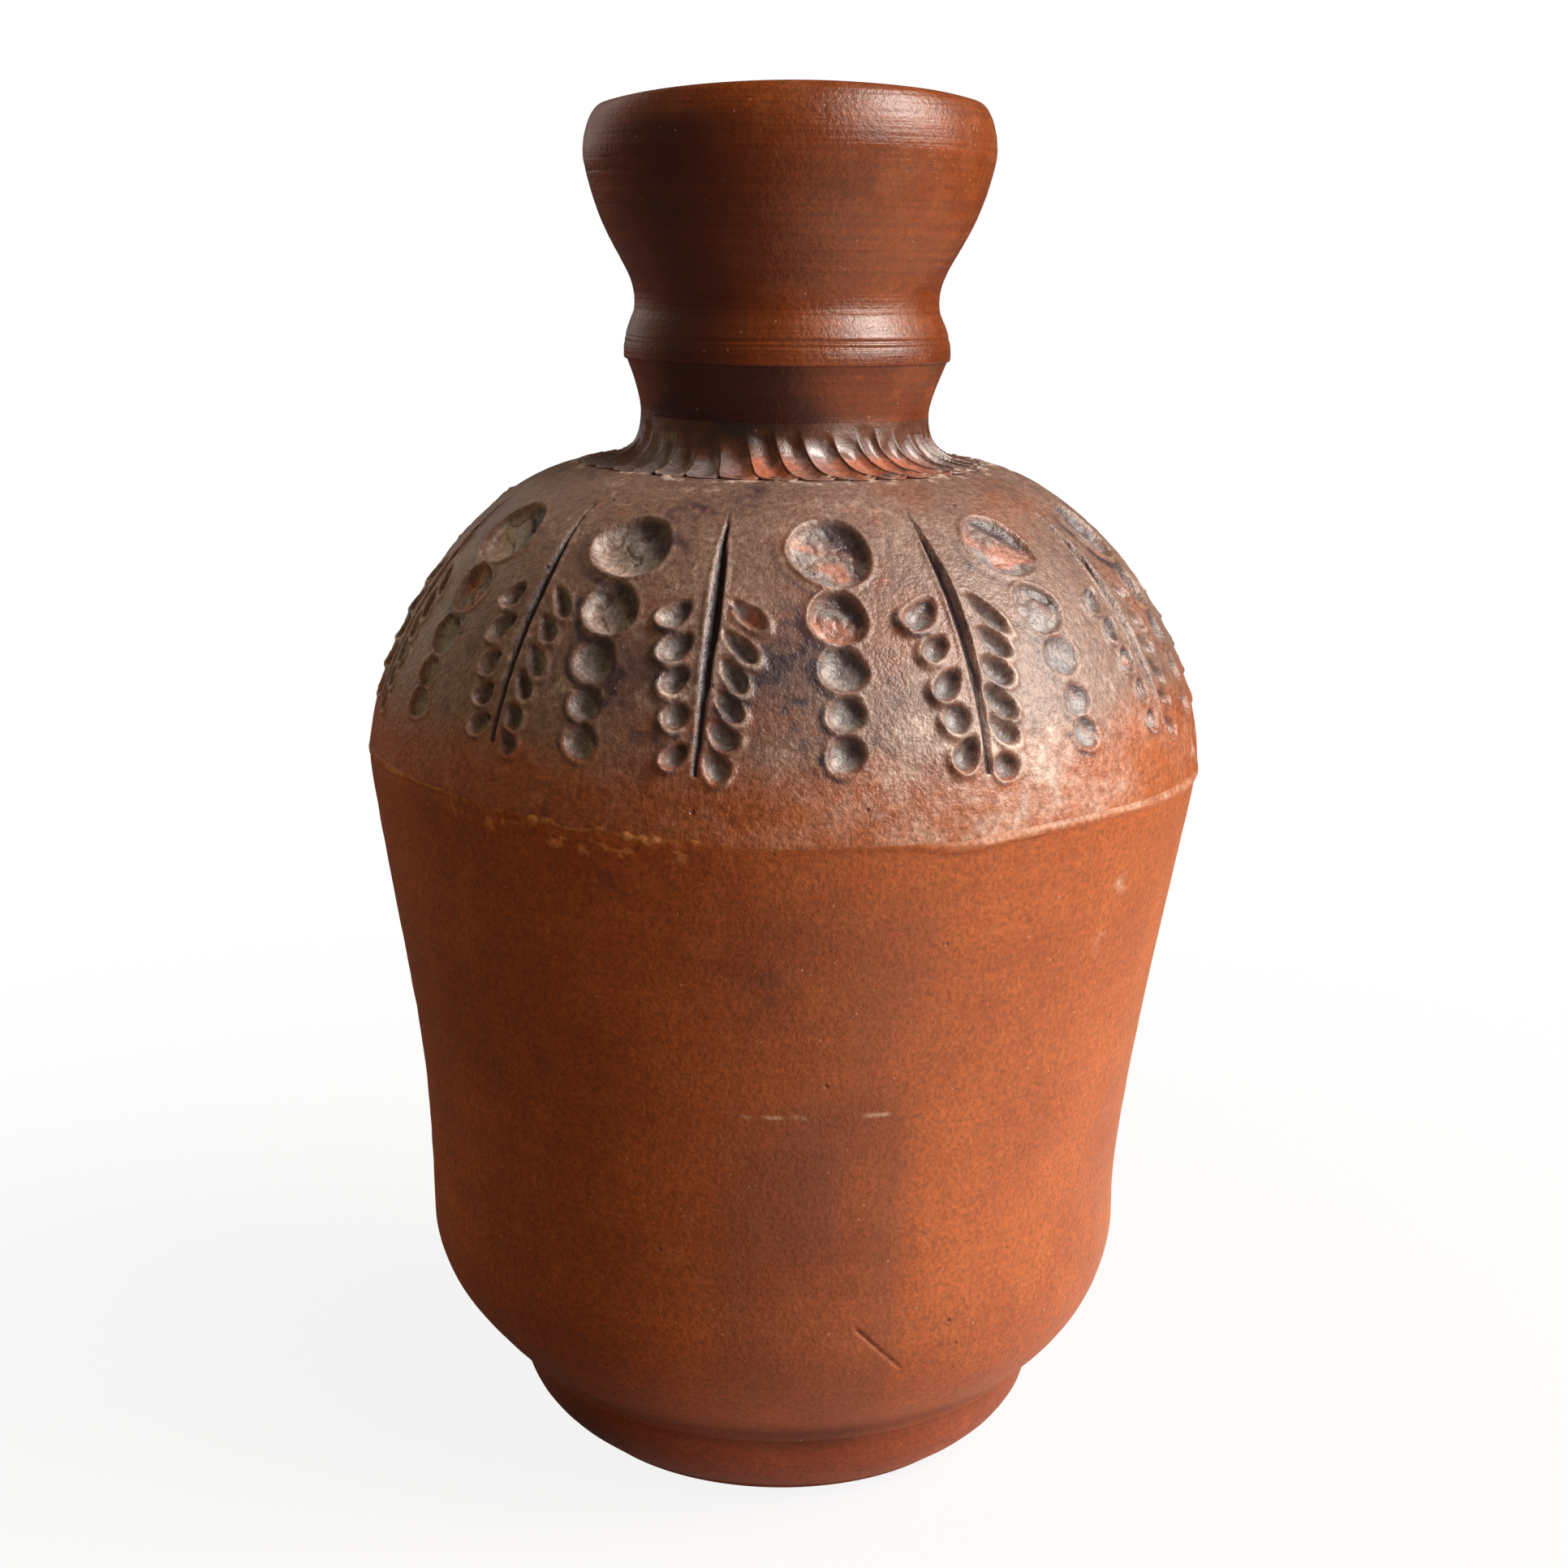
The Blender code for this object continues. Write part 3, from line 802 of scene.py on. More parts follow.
@dataclass(frozen=True)
class Nick:
    """A straight knife cut in the body: its two ends as (degrees, height), its width and depth.

    Rows and columns of the body's mesh lie closer where the two spans, in height and degrees, are.
    """

    start: tuple = (12.3, 42.7)
    end: tuple = (21.0, 32.8)
    half_width: float = 0.42
    depth: float = 0.55
    rows: Span = Span(31.0, 32.5, 43.0, 44.5)
    columns: Span = Span(9.5, 11.5, 22.0, 24.0, 1.6)


@dataclass
class LowerBody(Section):
    """The thrown wall from the crease to the seam, and the floor disc inside it.

    A streak of smoke is a span in degrees and one in height. A spot is (degrees, height, spread in
    millimetres, amount). The flaked patch is a bell in degrees and one in height above the seam.
    """

    wall: OuterWall
    thickness: float = 6.0
    floor: float = 6.5
    floor_swell: Noise = Noise(16.0, 31, 0.25)
    seat: float = 2.1
    foot_edge: tuple = (0.8, 0.3)
    seam_groove: float = 2.5
    coarse_row: float = 0.9
    fine_row: float = 0.35
    columns: int = 560
    ridges: Noise = Noise(3.4, 11, 0.05)
    ridge_drift: float = 9.0
    unevenness: tuple = (Noise(34.0, 12, 0.22), Noise(2.2, 13, 0.03))
    seam_dip: Bell = Bell(0.0, 2.2, 0.18)
    nick: Nick = Nick()
    scratch_line: Bell = Bell(80.5, 0.42, 0.95)
    scratches: tuple = (Span(-7.0, -5.5, 3.3, 4.8), Span(9.8, 11.3, 15.3, 16.8))
    scratch_gaps: Noise = Noise(1.6, 22)
    streaks: tuple = ((Span(-21.0, 4.0, 16.0, 23.0, 0.56), Span(16.0, 34.0, 78.0, 98.0)),
                      (Span(-15.0, 0.0, 17.0, 26.0, 0.42), Span(74.0, 96.0, 112.0, 126.0)))
    streak_clouds: Noise = Noise(7.0, 25, 0.35)
    cloud_stretch: tuple = (1.0, 1.0, 0.3)
    burnt_spots: tuple = ((-19.0, 68.0, 1.5, 0.9), (-23.0, 120.5, 3.6, 0.55), (-20.0, 118.5, 2.5, 0.6),
                          (-1.5, 103.0, 4.5, 0.42), (17.5, 70.0, 3.5, 0.22))
    pale_spots: tuple = ((51.0, 114.0, 2.2, 0.9), (49.0, 104.5, 2.0, 0.9), (-80.0, 46.0, 3.0, 0.9))
    spot_gaps: tuple = (Noise(1.8, 26), Noise(0.9, 27, 0.5))
    flaked: tuple = (Bell(-27.0, 20.0), Bell(-1.8, 2.3))
    flakes: tuple = (Noise(1.2, 23), Noise(4.0, 24, 0.7))

    @property
    def seat_radius(self) -> float:
        """Radius of the floor disc's seat in the foot of the wall."""
        return self.wall.radii[0] - self.thickness + self.seat

    def heights(self, step: float = 0.05) -> Array:
        """Heights of the outer rows, from the seam down: close where fine marks lie.

        Args:
            step: Step of the heights from which the rows are picked.

        Returns:
            The heights.
        """
        low, high = self.wall.heights[0], self.sizes.seam_height
        rows = np.arange(low, high, step)
        near_scratch = hump(rows, self.scratch_line.centre, 1.2)
        near_ends = hump(rows, low, 6.0) + hump(rows, high, 3.0)
        fine = np.clip(self.nick.rows.at(rows) + near_scratch + near_ends, 0.0, 1.0)
        density = 1.0 / (self.coarse_row + (self.fine_row - self.coarse_row) * fine)
        steps = np.concatenate([[0.0], np.cumsum(density * step)])
        marks = np.append(rows, high)
        return np.interp(np.linspace(0.0, steps[-1], int(steps[-1]) + 1), steps, marks)[::-1]

    def angles(self) -> Array:
        """Angles of the columns: even, but closer where the knife cut crosses them.

        Returns:
            The angles.
        """
        around = np.linspace(-math.pi, math.pi, 4001)
        near = self.nick.columns.at(np.degrees(around))
        steps = np.concatenate([[0.0], np.cumsum(1.0 + (near[1:] + near[:-1]) / 2)])
        return np.interp(np.linspace(0.0, steps[-1], self.columns, endpoint=False), steps, around)

    def cut(self, height: Array, angle: Array) -> Array:
        """Depth of the knife cut: a V across its line, shallower towards both ends.

        Args:
            height, angle: Points of the wall.

        Returns:
            The depth at each point.
        """
        radius = np.interp(self.nick.start[1], self.wall.heights, self.wall.radii)
        start, end = (np.array([math.radians(turn) * radius, level])
                      for turn, level in (self.nick.start, self.nick.end))
        line = end - start
        length = np.linalg.norm(line)
        aside, above = turn_from(angle, 0.0) * radius - start[0], height - start[1]
        along = (aside * line[0] + above * line[1]) / length
        across = (aside * line[1] - above * line[0]) / length
        ends = Span(-0.3, 1.5, length - 3.0, length + 0.3).at(along)
        return self.nick.depth * ends * np.clip(1 - np.abs(across) / self.nick.half_width, 0.0, 1.0)

    def build(self) -> None:
        """Turns the wall with its throwing ridges and marks, then the floor disc."""
        seam, low = self.sizes.seam_height, self.sizes.crease_height
        angle = self.angles()[None, :]
        rows = self.heights()[:, None]
        height = self.hand.follow_seam(rows, angle, seam)
        radius, _ = self.wall.at(height)
        places = turned(radius, height, angle)
        around = np.stack(np.broadcast_arrays(self.ridge_drift * angle, 0.0, height), axis=-1)
        relief = self.ridges.at(around) + noise_sum(self.unevenness, places) - self.cut(height, angle)
        relief -= self.seam_dip.at(height - self.hand.seam_wave(angle, seam) - seam)
        outer = turned(*self.wall.at(height, relief), angle)
        inset, rise = self.foot_edge
        foot = [(self.wall.radii[0] - inset, self.wall.heights[0] + rise), (self.seat_radius, low)]
        inner = self.wall.inner_rows(self.thickness, low + self.floor, seam - 2.0, 12)
        top = [(self.sizes.seam_radius - self.thickness, seam - self.seam_groove)]
        hidden = np.concatenate([foot, inner, top])
        grid = self.closed(outer, hidden, angle, (0, len(outer) - 1))
        self.stain(grid, places, rows, degrees_right(angle))
        place_piece(grid, "lower_body_thrown", "lower_body", BODY_CLAY.material())
        self.build_floor()

    def stain(self, grid: TurnedGrid, places: Array, height: Array, degrees: Array) -> None:
        """Lays the smoke streak, the crease's smoke and painted shade, the pale scratches, the spots and the
        bare flakes.

        Args:
            grid: The body.
            places: Points of its outer rows before the relief.
            height: Height of each outer row.
            degrees: Degrees to the right of the front for each column.
        """
        outer = len(height)
        ragged = ease(noise_sum(self.spot_gaps, places), -0.35, 0.25)
        burnt, pale = (ragged * self.spots(marks, height, degrees)
                       for marks in (self.burnt_spots, self.pale_spots))
        streak = np.maximum(*(turn.at(degrees) * rise.at(height) for turn, rise in self.streaks))
        streak = streak * (0.95 + self.streak_clouds.at(places * np.array(self.cloud_stretch)))
        # Smoke and painted shade in the crease above the foot
        crease = CreaseSmokeAndShade().at(height - self.sizes.crease_height, degrees, places)
        grid.stains[Stain.SOOT][:outer] = streak + crease + burnt
        dashes = sum(dash.at(degrees) for dash in self.scratches) * self.scratch_line.at(height)
        grid.stains[Stain.DUST][:outer] = dashes * ease(self.scratch_gaps.at(places), -0.45, 0.2) + pale
        flaked = ease(patch(self.flaked, degrees, height - self.sizes.seam_height), 0.1, 0.6)
        grid.stains[Stain.BARE][:outer] = 1.2 * ease(noise_sum(self.flakes, places), 0.1, 0.4) * flaked

    def spots(self, marks: tuple, height: Array, degrees: Array) -> Array:
        """Sum of a bell around each spot; sideways distances are taken at the seam's radius.

        Args:
            marks: The spots.
            height, degrees: Points of the wall.

        Returns:
            The amount at each point.
        """
        mm_per_degree = math.radians(self.sizes.seam_radius)
        return sum(amount * hump(np.hypot((degrees - centre) * mm_per_degree, height - level), 0.0, spread)
                   for centre, level, spread, amount in marks)

    def build_floor(self, edge: float = 1.3, under_edge: float = 0.3, tip: float = 0.02) -> None:
        """The disc that closes the bottom, with eased edges; its grid ends in a tip on the axis.

        Args:
            edge, under_edge: How far the upper and the lower edge are eased.
            tip: Radius of the hole that is left at the axis.
        """
        low, high = self.sizes.crease_height, self.sizes.crease_height + self.floor
        radius = self.seat_radius - self.sizes.slip
        path = np.array([(tip, high), (radius * 0.5, high), (radius - edge, high), (radius, high - edge),
                         (radius, low + under_edge), (radius - under_edge, low), (tip, low)])
        points = turned_path(path, columns_around(96)[None, :])
        points[..., 2] += self.floor_swell.at(points) * (path[:, 1:] > high - 0.1)
        grid = TurnedGrid(points)
        place_piece(grid, "floor_disc_beaten", "floor_disc", INNER_CLAY.material())


@dataclass(frozen=True)
class Dish:
    """One pressed print on the unrolled dome.

    The centre is an angle and a distance down from the collar's edge. The long axis leans from
    straight down to the right. The floor is the flat share of the print's radius. The raised rim
    is higher towards the long axis' lower end, where the tool may also push up a flake.
    """

    angle: float
    down: float
    half_length: float
    half_width: float
    lean: float
    depth: float
    floor: float
    rim: float
    one_sided: float
    swell: float
    phase: float
    flake: float = 0.0
    bare: float = 0.0
    torn: float = 0.0


@dataclass(frozen=True)
class Stem:
    """A frond's stem: a cut from top to bottom, pointed at the top, bowed and leaning sideways."""

    angle: float
    top: float
    bottom: float
    half_width: float
    depth: float
    bow: float
    lean: float


@dataclass(frozen=True)
class LeafRow:
    """The leaves on one side of a frond: 1 is right, -1 left. A pair runs from the top leaf to the last."""

    side: int
    count: int
    downs: tuple
    half_lengths: tuple
    half_widths: tuple
    flake: float


def between(pair: tuple, share: float) -> float:
    """Value at a share of the way from the first of a pair to the second."""
    return pair[0] + (pair[1] - pair[0]) * share


@dataclass
class Shoulder(Section):
    """The dome with its ring of prints: columns of round stamps between leafy fronds.

    The dome is meshed as two half shells, which together keep the prints' edges fine. The tuples
    by column and by frond go around from the front column to the right. A bare stamp is (column,
    stamp), a bare leaf is (frond, side, leaf). A cloud of smoke, the painted sheen on the lower
    right of the dome and the chipped edge are each a bell in degrees and one in distance down
    from the collar's edge.
    """

    wall: OuterWall
    thickness: float = 6.0
    bore: float = 19.2
    bore_ease: float = 1.0
    shelf_radii: tuple = (30.0, 33.5)
    pairs: int = 11
    seed: int = 41
    first_column: float = math.radians(7.7)
    half_from: float = math.radians(-98.6)
    columns_per_half: int = 500
    fine_rows: tuple = (11.0, 61.0, 0.34)
    column_drift: tuple = (-0.1, 1.1, 0.5, -0.8, 0.6, -0.4, 0.9, -0.6, 0.3, 0.3, -1.5)
    column_depth: tuple = (1.0, 0.45, 0.9, 1.05, 0.8, 1.0, 0.7, 0.95, 1.0, 0.8, 1.0)
    column_lean: tuple = (0.0, 2.0, -0.8, 0.9, -0.5, 0.7, -1.0, 0.4, 0.8, -0.8, 0.5)
    stamp_downs: tuple = (20.1, 32.2, 41.0, 48.3, 54.2)
    stamp_diameters: tuple = (13.2, 9.3, 7.5, 5.8, 5.9)
    bare_stamps: tuple = ((0, 0), (0, 1), (1, 0), (9, 1), (4, 0), (6, 1))
    frond_drift: tuple = (1.4, 3.2, 0.4, -0.7, 0.8, -0.5, 0.3, 0.9, -0.4, 1.0, -1.9)
    frond_depth: tuple = (1.0, 0.75, 0.5, 0.8, 1.0, 0.85, 1.0, 0.75, 0.6, 1.0, 1.0)
    frond_size: tuple = (1.0, 0.85, 0.9, 0.95, 1.0, 0.9, 1.0, 0.9, 0.85, 0.86, 0.9)
    frond_flake: tuple = (1.0, 0.3, 0.15, 0.8, 1.0, 0.85, 1.0, 0.75, 0.4, 0.7, 1.0)
    frond_lean: tuple = (0.4, 1.2, -0.6, 0.8, 0.3, -0.9, 0.6, -0.4, 0.7, 1.6, -0.6)
    stem_top: float = 11.6
    stem_bottom: float = 57.6
    stem_half_width: float = 1.1
    stem_depth: float = 1.5
    leaf_rows: tuple = (LeafRow(1, 6, (32.2, 56.8), (4.2, 2.7), (1.6, 1.95), 0.15),
                        LeafRow(-1, 5, (32.2, 54.8), (3.5, 2.8), (2.0, 2.0), 0.9))
    leaf_asides: tuple = (5.5, 3.3)
    leaf_droops: tuple = (42.0, 36.0)
    bare_leaves: tuple = ((10, 1, 0), (1, -1, 2), (4, 1, 2), (6, -1, 4))
    print_depth: float = 1.8
    print_reach: float = 1.7
    rim_width: float = 0.33
    bare_share: float = 0.9
    lit_from: tuple = (5.0, 30.0)
    rough: Noise = Noise(1.7, 51)
    unevenness: Noise = Noise(26.0, 52, 0.2)
    folds: tuple = (Noise(3.4, 54), Noise(1.5, 55, 0.4))
    top_line: Bell = Bell(5.3, 0.7, 0.26)
    top_line_gaps: Noise = Noise(22.0, 53)
    seam_ridge: Bell = Bell(0.0, 2.4, 0.2)
    crumbs: Noise = Noise(1.3, 65)
    crumb_patches: Noise = Noise(6.0, 71, 0.4)
    clouds: tuple = ((Bell(-1.0, 9.0, 0.68), Bell(42.0, 12.0)), (Bell(-20.0, 12.0, 0.72), Bell(42.0, 11.0)))
    cloudy: tuple = (Noise(20.0, 61), Noise(7.0, 62, 0.5))
    chips: tuple = (Noise(5.0, 63), Noise(1.5, 64, 0.4))
    rim_patches: Noise = Noise(4.0, 66)
    bare_gaps: Noise = Noise(3.0, 67)
    patches: tuple = (Noise(5.5, 68), Noise(1.4, 69, 0.7))
    # Painted sheen: pale colour where the lamps' broad sheen falls on the lower right of the dome
    painted_sheen: tuple = (Bell(27.0, 27.0, 0.92), Bell(58.0, 15.0))
    chipped_edge: tuple = (Bell(77.0, 7.0, 0.8), Bell(62.0, 5.0))
    edge_chips: Noise = Noise(2.2, 70)

    def __post_init__(self) -> None:
        """Lays out the rows and columns, then empties the layers of the whole dome."""
        fine = np.arange(*self.fine_rows)
        upper = np.linspace(0.0, fine[0], 14, endpoint=False)
        lower = np.linspace(fine[-1] + 0.5, self.wall.down_at(self.sizes.seam_height), 19)
        self.downs = np.concatenate([upper, fine, lower])
        self.angles = columns_around(2 * self.columns_per_half, self.half_from)
        shape = (len(self.downs), len(self.angles))
        # The fifth layer is shade painted in the prints' hollows, stems and cracks; the last is a highlight
        # painted on the prints' walls that face the light
        self.scoop, self.rim, self.grey, self.bare, self.dark, self.torn, self.pale = np.zeros((7, *shape))
        self.row_heights = self.wall.height_at(self.downs)
        self.row_radii = np.interp(self.row_heights, self.wall.heights, self.wall.radii)
        self.rng = np.random.default_rng(self.seed)

    def window(self, angle: float, down: float, reach: float) -> tuple:
        """Finds the part of the grid around a place.

        Args:
            angle, down: The place.
            reach: Distance to each side that is taken in.

        Returns:
            Index of the part, and its points' distances below the place and to its right.
        """
        radius = np.interp(down, self.downs, self.row_radii)
        aside = turn_from(self.angles, angle) * radius
        below = self.downs - down
        rows, columns = np.flatnonzero(np.abs(below) < reach), np.flatnonzero(np.abs(aside) < reach)
        return np.ix_(rows, columns), below[rows][:, None], aside[columns][None, :]

    def lay(self, spot: tuple, **amounts: Array) -> None:
        """Raises the named layers, in a part of the grid, to at least these amounts.

        Args:
            spot: Index of the part.
            amounts: Amount at each of its points, by layer.
        """
        for name, amount in amounts.items():
            layer = getattr(self, name)
            layer[spot] = np.maximum(layer[spot], amount)

    def press(self, dish: Dish) -> None:
        """Presses one print: a round-bottomed scoop with steep edges, inside a bell-shaped raised rim.

        Shade is painted in the scoop's upper right part, which lies in the lee of its edge, outside its
        lower left rim and, on the lit side, lightly over its whole inside. The prints that don't lie on
        the lit side get a painted highlight in their lower left part, which faces the light.

        Args:
            dish: The print.
        """
        reach = self.print_reach * max(dish.half_length, dish.half_width)
        spot, below, aside = self.window(dish.angle, dish.down, reach)
        along = aside * math.sin(dish.lean) + below * math.cos(dish.lean)
        across = aside * math.cos(dish.lean) - below * math.sin(dish.lean)
        bearing = np.arctan2(across, along)
        end = along / dish.half_length
        width = dish.half_width * (1 + dish.swell * np.clip(end, -1.0, 1.0))
        uneven = 1 + 0.04 * np.cos(2 * bearing + dish.phase) + 0.03 * np.cos(3 * bearing + 2 * dish.phase)
        distance = np.hypot(end, across / width) / uneven
        inward = np.clip((1 - distance) / (1 - dish.floor), 0.0, 1.0)
        depth = (1 - (1 - inward) ** 2) ** 0.75
        side = 1 - dish.one_sided * (1 - np.cos(bearing)) / 2
        rim_spread = self.rim_width / min(dish.half_length, dish.half_width)
        rim = dish.rim * side * hump(distance, 1 + 1.1 * rim_spread, rim_spread)
        flake = dish.flake * np.clip(np.cos(bearing), 0.0, 1.0) ** 3 * hump(distance, 1.24, 0.2)
        inside = ease(depth, 0.05, 0.55)
        towards_light = (aside - below) / (1.41 * dish.half_length)
        lit_side = ease(degrees_right(dish.angle), *self.lit_from)
        # Painted shade: the part of the scoop under its edge nearest the light
        painted_lee_shade = inside * ease(towards_light, 0.05 - 0.18 * lit_side, 0.65)
        # Painted shade in the crease outside the lower left rim
        crease = 0.6 * hump(distance, 1.34, 0.14) * ease(-towards_light, 0.3, 0.9)
        # Painted highlight on the lower left wall, which faces the light
        pale = (1 - lit_side) * (1 - dish.bare) * inside * ease(-towards_light, -0.15, 0.7)
        # Painted shade: the lee, the crease, and a light shade over the insides of prints on the lit side
        self.lay(spot, scoop=dish.depth * depth, rim=rim + flake, grey=inside * (1 - 0.7 * painted_lee_shade), pale=pale,
                 dark=np.maximum(np.maximum(painted_lee_shade, 0.3 * lit_side * inside), crease), torn=dish.torn * inside,
                 bare=dish.bare * inside * ease(end, -0.7, 0.1))

    def carve(self, stem: Stem) -> None:
        """Cuts a stem with a gentle left bank and a steep right one.

        Its width grows from the point at its top and narrows again below.

        Args:
            stem: The stem.
        """
        length = stem.bottom - stem.top
        spot, below, aside = self.window(stem.angle, stem.top + length / 2, length / 2)
        share = below / length + 0.5
        middle = stem.bow * np.sin(np.pi * share) + stem.lean * (share - 0.5)
        half = stem.half_width * ease(share, -0.05, 0.36) ** 0.8 * (1 - 0.62 * ease(share, 0.36, 0.95)) + 0.02
        aside = aside - middle
        across, fullness = aside / half, half / stem.half_width
        bank = np.minimum(ease(across, -1.0, 0.2), 1 - ease(across, 0.7, 1.0))
        cover = 1 - ease(np.abs(across), 0.75, 1.05)
        # Shade is painted over the whole inside of the stem; its left part also turns grey
        self.lay(spot, scoop=stem.depth * np.clip(fullness, 0.0, 1.0) ** 0.6 * bank,
                 rim=0.32 * fullness * hump(np.abs(aside), half + 0.35, 0.34), dark=cover,
                 grey=0.5 * cover * (1 - ease(across, -0.2, 0.5)))

    def press_column(self, pair: int) -> None:
        """One column of stamps, from the largest down to the smallest; the first two are flat and torn.

        Args:
            pair: Number of the column.
        """
        angle = self.first_column + math.tau * pair / self.pairs + math.radians(self.column_drift[pair])
        middle, strength = np.mean(self.stamp_downs), self.column_depth[pair]
        length = self.stamp_downs[-1] - self.stamp_downs[0]
        for place, (down, diameter) in enumerate(zip(self.stamp_downs, self.stamp_diameters)):
            radius = np.interp(down, self.downs, self.row_radii)
            aside = self.column_lean[pair] * (down - middle) / length + self.rng.uniform(-0.25, 0.25)
            size = diameter / 2 * self.rng.uniform(0.97, 1.03)
            floor, rim, torn = (0.62, 0.42, 1.0) if place < 2 else (0.05, 0.24, 0.25)
            self.press(Dish(
                angle=angle + aside / radius, down=down + self.rng.uniform(-0.25, 0.25), half_length=size,
                half_width=size, lean=self.rng.uniform(-1.2, -0.2), depth=self.print_depth * strength,
                floor=floor, rim=rim * min(1.0, 0.3 + strength), one_sided=0.5, swell=0.0, torn=torn,
                phase=self.rng.uniform(0, 6), bare=self.bare_share * ((pair, place) in self.bare_stamps)))

    def press_frond(self, pair: int) -> None:
        """One frond: its stem, then leaves that droop to both sides and close in downwards.

        The leaves to the right are long and narrow. Those to the left are rounder, and the tool
        pushed up a taller flake of clay at their outer ends.

        Args:
            pair: Number of the frond.
        """
        turn = math.tau * (pair + 0.5) / self.pairs
        angle = self.first_column + turn + math.radians(self.frond_drift[pair])
        lean, middle = self.frond_lean[pair], (self.stem_top + self.stem_bottom) / 2
        length, size = self.stem_bottom - self.stem_top, self.frond_size[pair]
        for row in self.leaf_rows:
            for leaf, share in enumerate(np.linspace(0.0, 1.0, row.count)):
                down = between(row.downs, share) + self.rng.uniform(-0.4, 0.4)
                radius = np.interp(down, self.downs, self.row_radii)
                aside = row.side * (between(self.leaf_asides, share) + self.rng.uniform(-0.25, 0.25))
                aside += lean * (down - middle) / length
                self.press(Dish(
                    angle=angle + aside / radius, down=down,
                    half_length=size * between(row.half_lengths, share) * self.rng.uniform(0.86, 1.1),
                    half_width=size * between(row.half_widths, share) * self.rng.uniform(0.85, 1.12),
                    lean=row.side * math.radians(between(self.leaf_droops, share) + self.rng.uniform(-9, 9)),
                    depth=self.print_depth * self.frond_depth[pair] * self.rng.uniform(0.75, 1.1),
                    floor=0.0, rim=0.34, one_sided=0.7, swell=0.22, torn=0.3, phase=self.rng.uniform(0, 6),
                    flake=row.flake * self.frond_flake[pair],
                    bare=self.bare_share * ((pair, row.side, leaf) in self.bare_leaves)))
        self.carve(Stem(
            angle=angle, top=self.stem_top + self.rng.uniform(-0.9, 0.9),
            bottom=self.stem_bottom + self.rng.uniform(-0.8, 0.6), half_width=self.stem_half_width,
            depth=self.stem_depth * self.frond_depth[pair], bow=self.rng.uniform(-0.2, 0.9), lean=lean))

    def build(self) -> None:
        """Presses all prints, lays the surface irregularities, the smoke and the painted shade and
        highlights, and writes both halves.
        """
        for pair in range(self.pairs):
            self.press_column(pair)
            self.press_frond(pair)
        rows, angle = self.row_heights[:, None], self.angles[None, :]
        height = self.hand.follow_seam(rows, angle, self.sizes.seam_height)
        radius, _ = self.wall.at(height)
        places = turned(radius, height, angle)
        outer = turned(*self.wall.at(height, self.relief(places, rows)), angle)
        points = np.concatenate([outer, turned_path(self.hidden_rows(), angle)])
        points = self.hand.bend(points, self.sizes.rim_height)
        stains = self.stains(places)
        material = SMOKED_CLAY.material()
        for half, name in enumerate(("shoulder_front", "shoulder_back")):
            first = half * self.columns_per_half
            columns = np.arange(first, first + self.columns_per_half + 1) % len(self.angles)
            grid = TurnedGrid(points[:, columns], (0, len(outer) - 1), whole_turn=False)
            for stain, amount in stains.items():
                grid.stains[stain][: len(outer)] = amount[:, columns]
            place_piece(grid, name, "shoulder", material)

    def relief(self, places: Array, rows: Array) -> Array:
        """Height of the surface over the plain dome; shade is also painted into the cracks of the torn
        prints.

        Args:
            places: Points of the plain dome.
            rows: Height of each row.

        Returns:
            The relief at each point.
        """
        down, rough = self.downs[:, None], self.rough.at(places)
        folds = noise_sum(self.folds, places)
        cracks = 1 - ease(np.abs(folds), 0.0, 0.2)
        relief = self.rim * (1 - ease(self.scoop, 0.0, 0.3)) * (1 + 0.35 * rough) - self.scoop
        relief += (0.12 * self.grey + 0.03) * rough + self.unevenness.at(places)
        relief += 0.3 * self.torn * (folds - cracks)
        relief -= self.top_line.at(down) * ease(self.top_line_gaps.at(places), -0.5, 0.3)
        relief += self.seam_ridge.at(rows - self.sizes.seam_height)
        relief *= ease(down, -0.5, 1.0)
        relief += 0.3 * ease(self.crumbs.at(places), 0.0, 0.6) * (1 - ease(down, 0.8, 2.6))
        # Shade painted into the cracks
        self.dark = np.maximum(self.dark, 0.6 * self.torn * cracks)
        self.grey *= 1 - 0.5 * self.torn * cracks
        return relief

    def hidden_rows(self) -> Array:
        """Path of the rows inside: the seam's face, the inner wall, the bore and the shelf.

        Returns:
            The path.
        """
        low, top = self.sizes.seam_height, self.sizes.shelf_height
        ceiling = top - self.thickness
        inner = self.wall.inner_rows(self.thickness, low + 3.0, ceiling, 9)
        start = [(self.sizes.seam_radius - self.thickness, low)]
        bore = [(self.bore + self.bore_ease, ceiling), (self.bore, ceiling + self.bore_ease),
                (self.bore, top)]
        shelf = [(radius, top) for radius in self.shelf_radii]
        return np.concatenate([start, inner, bore, shelf])

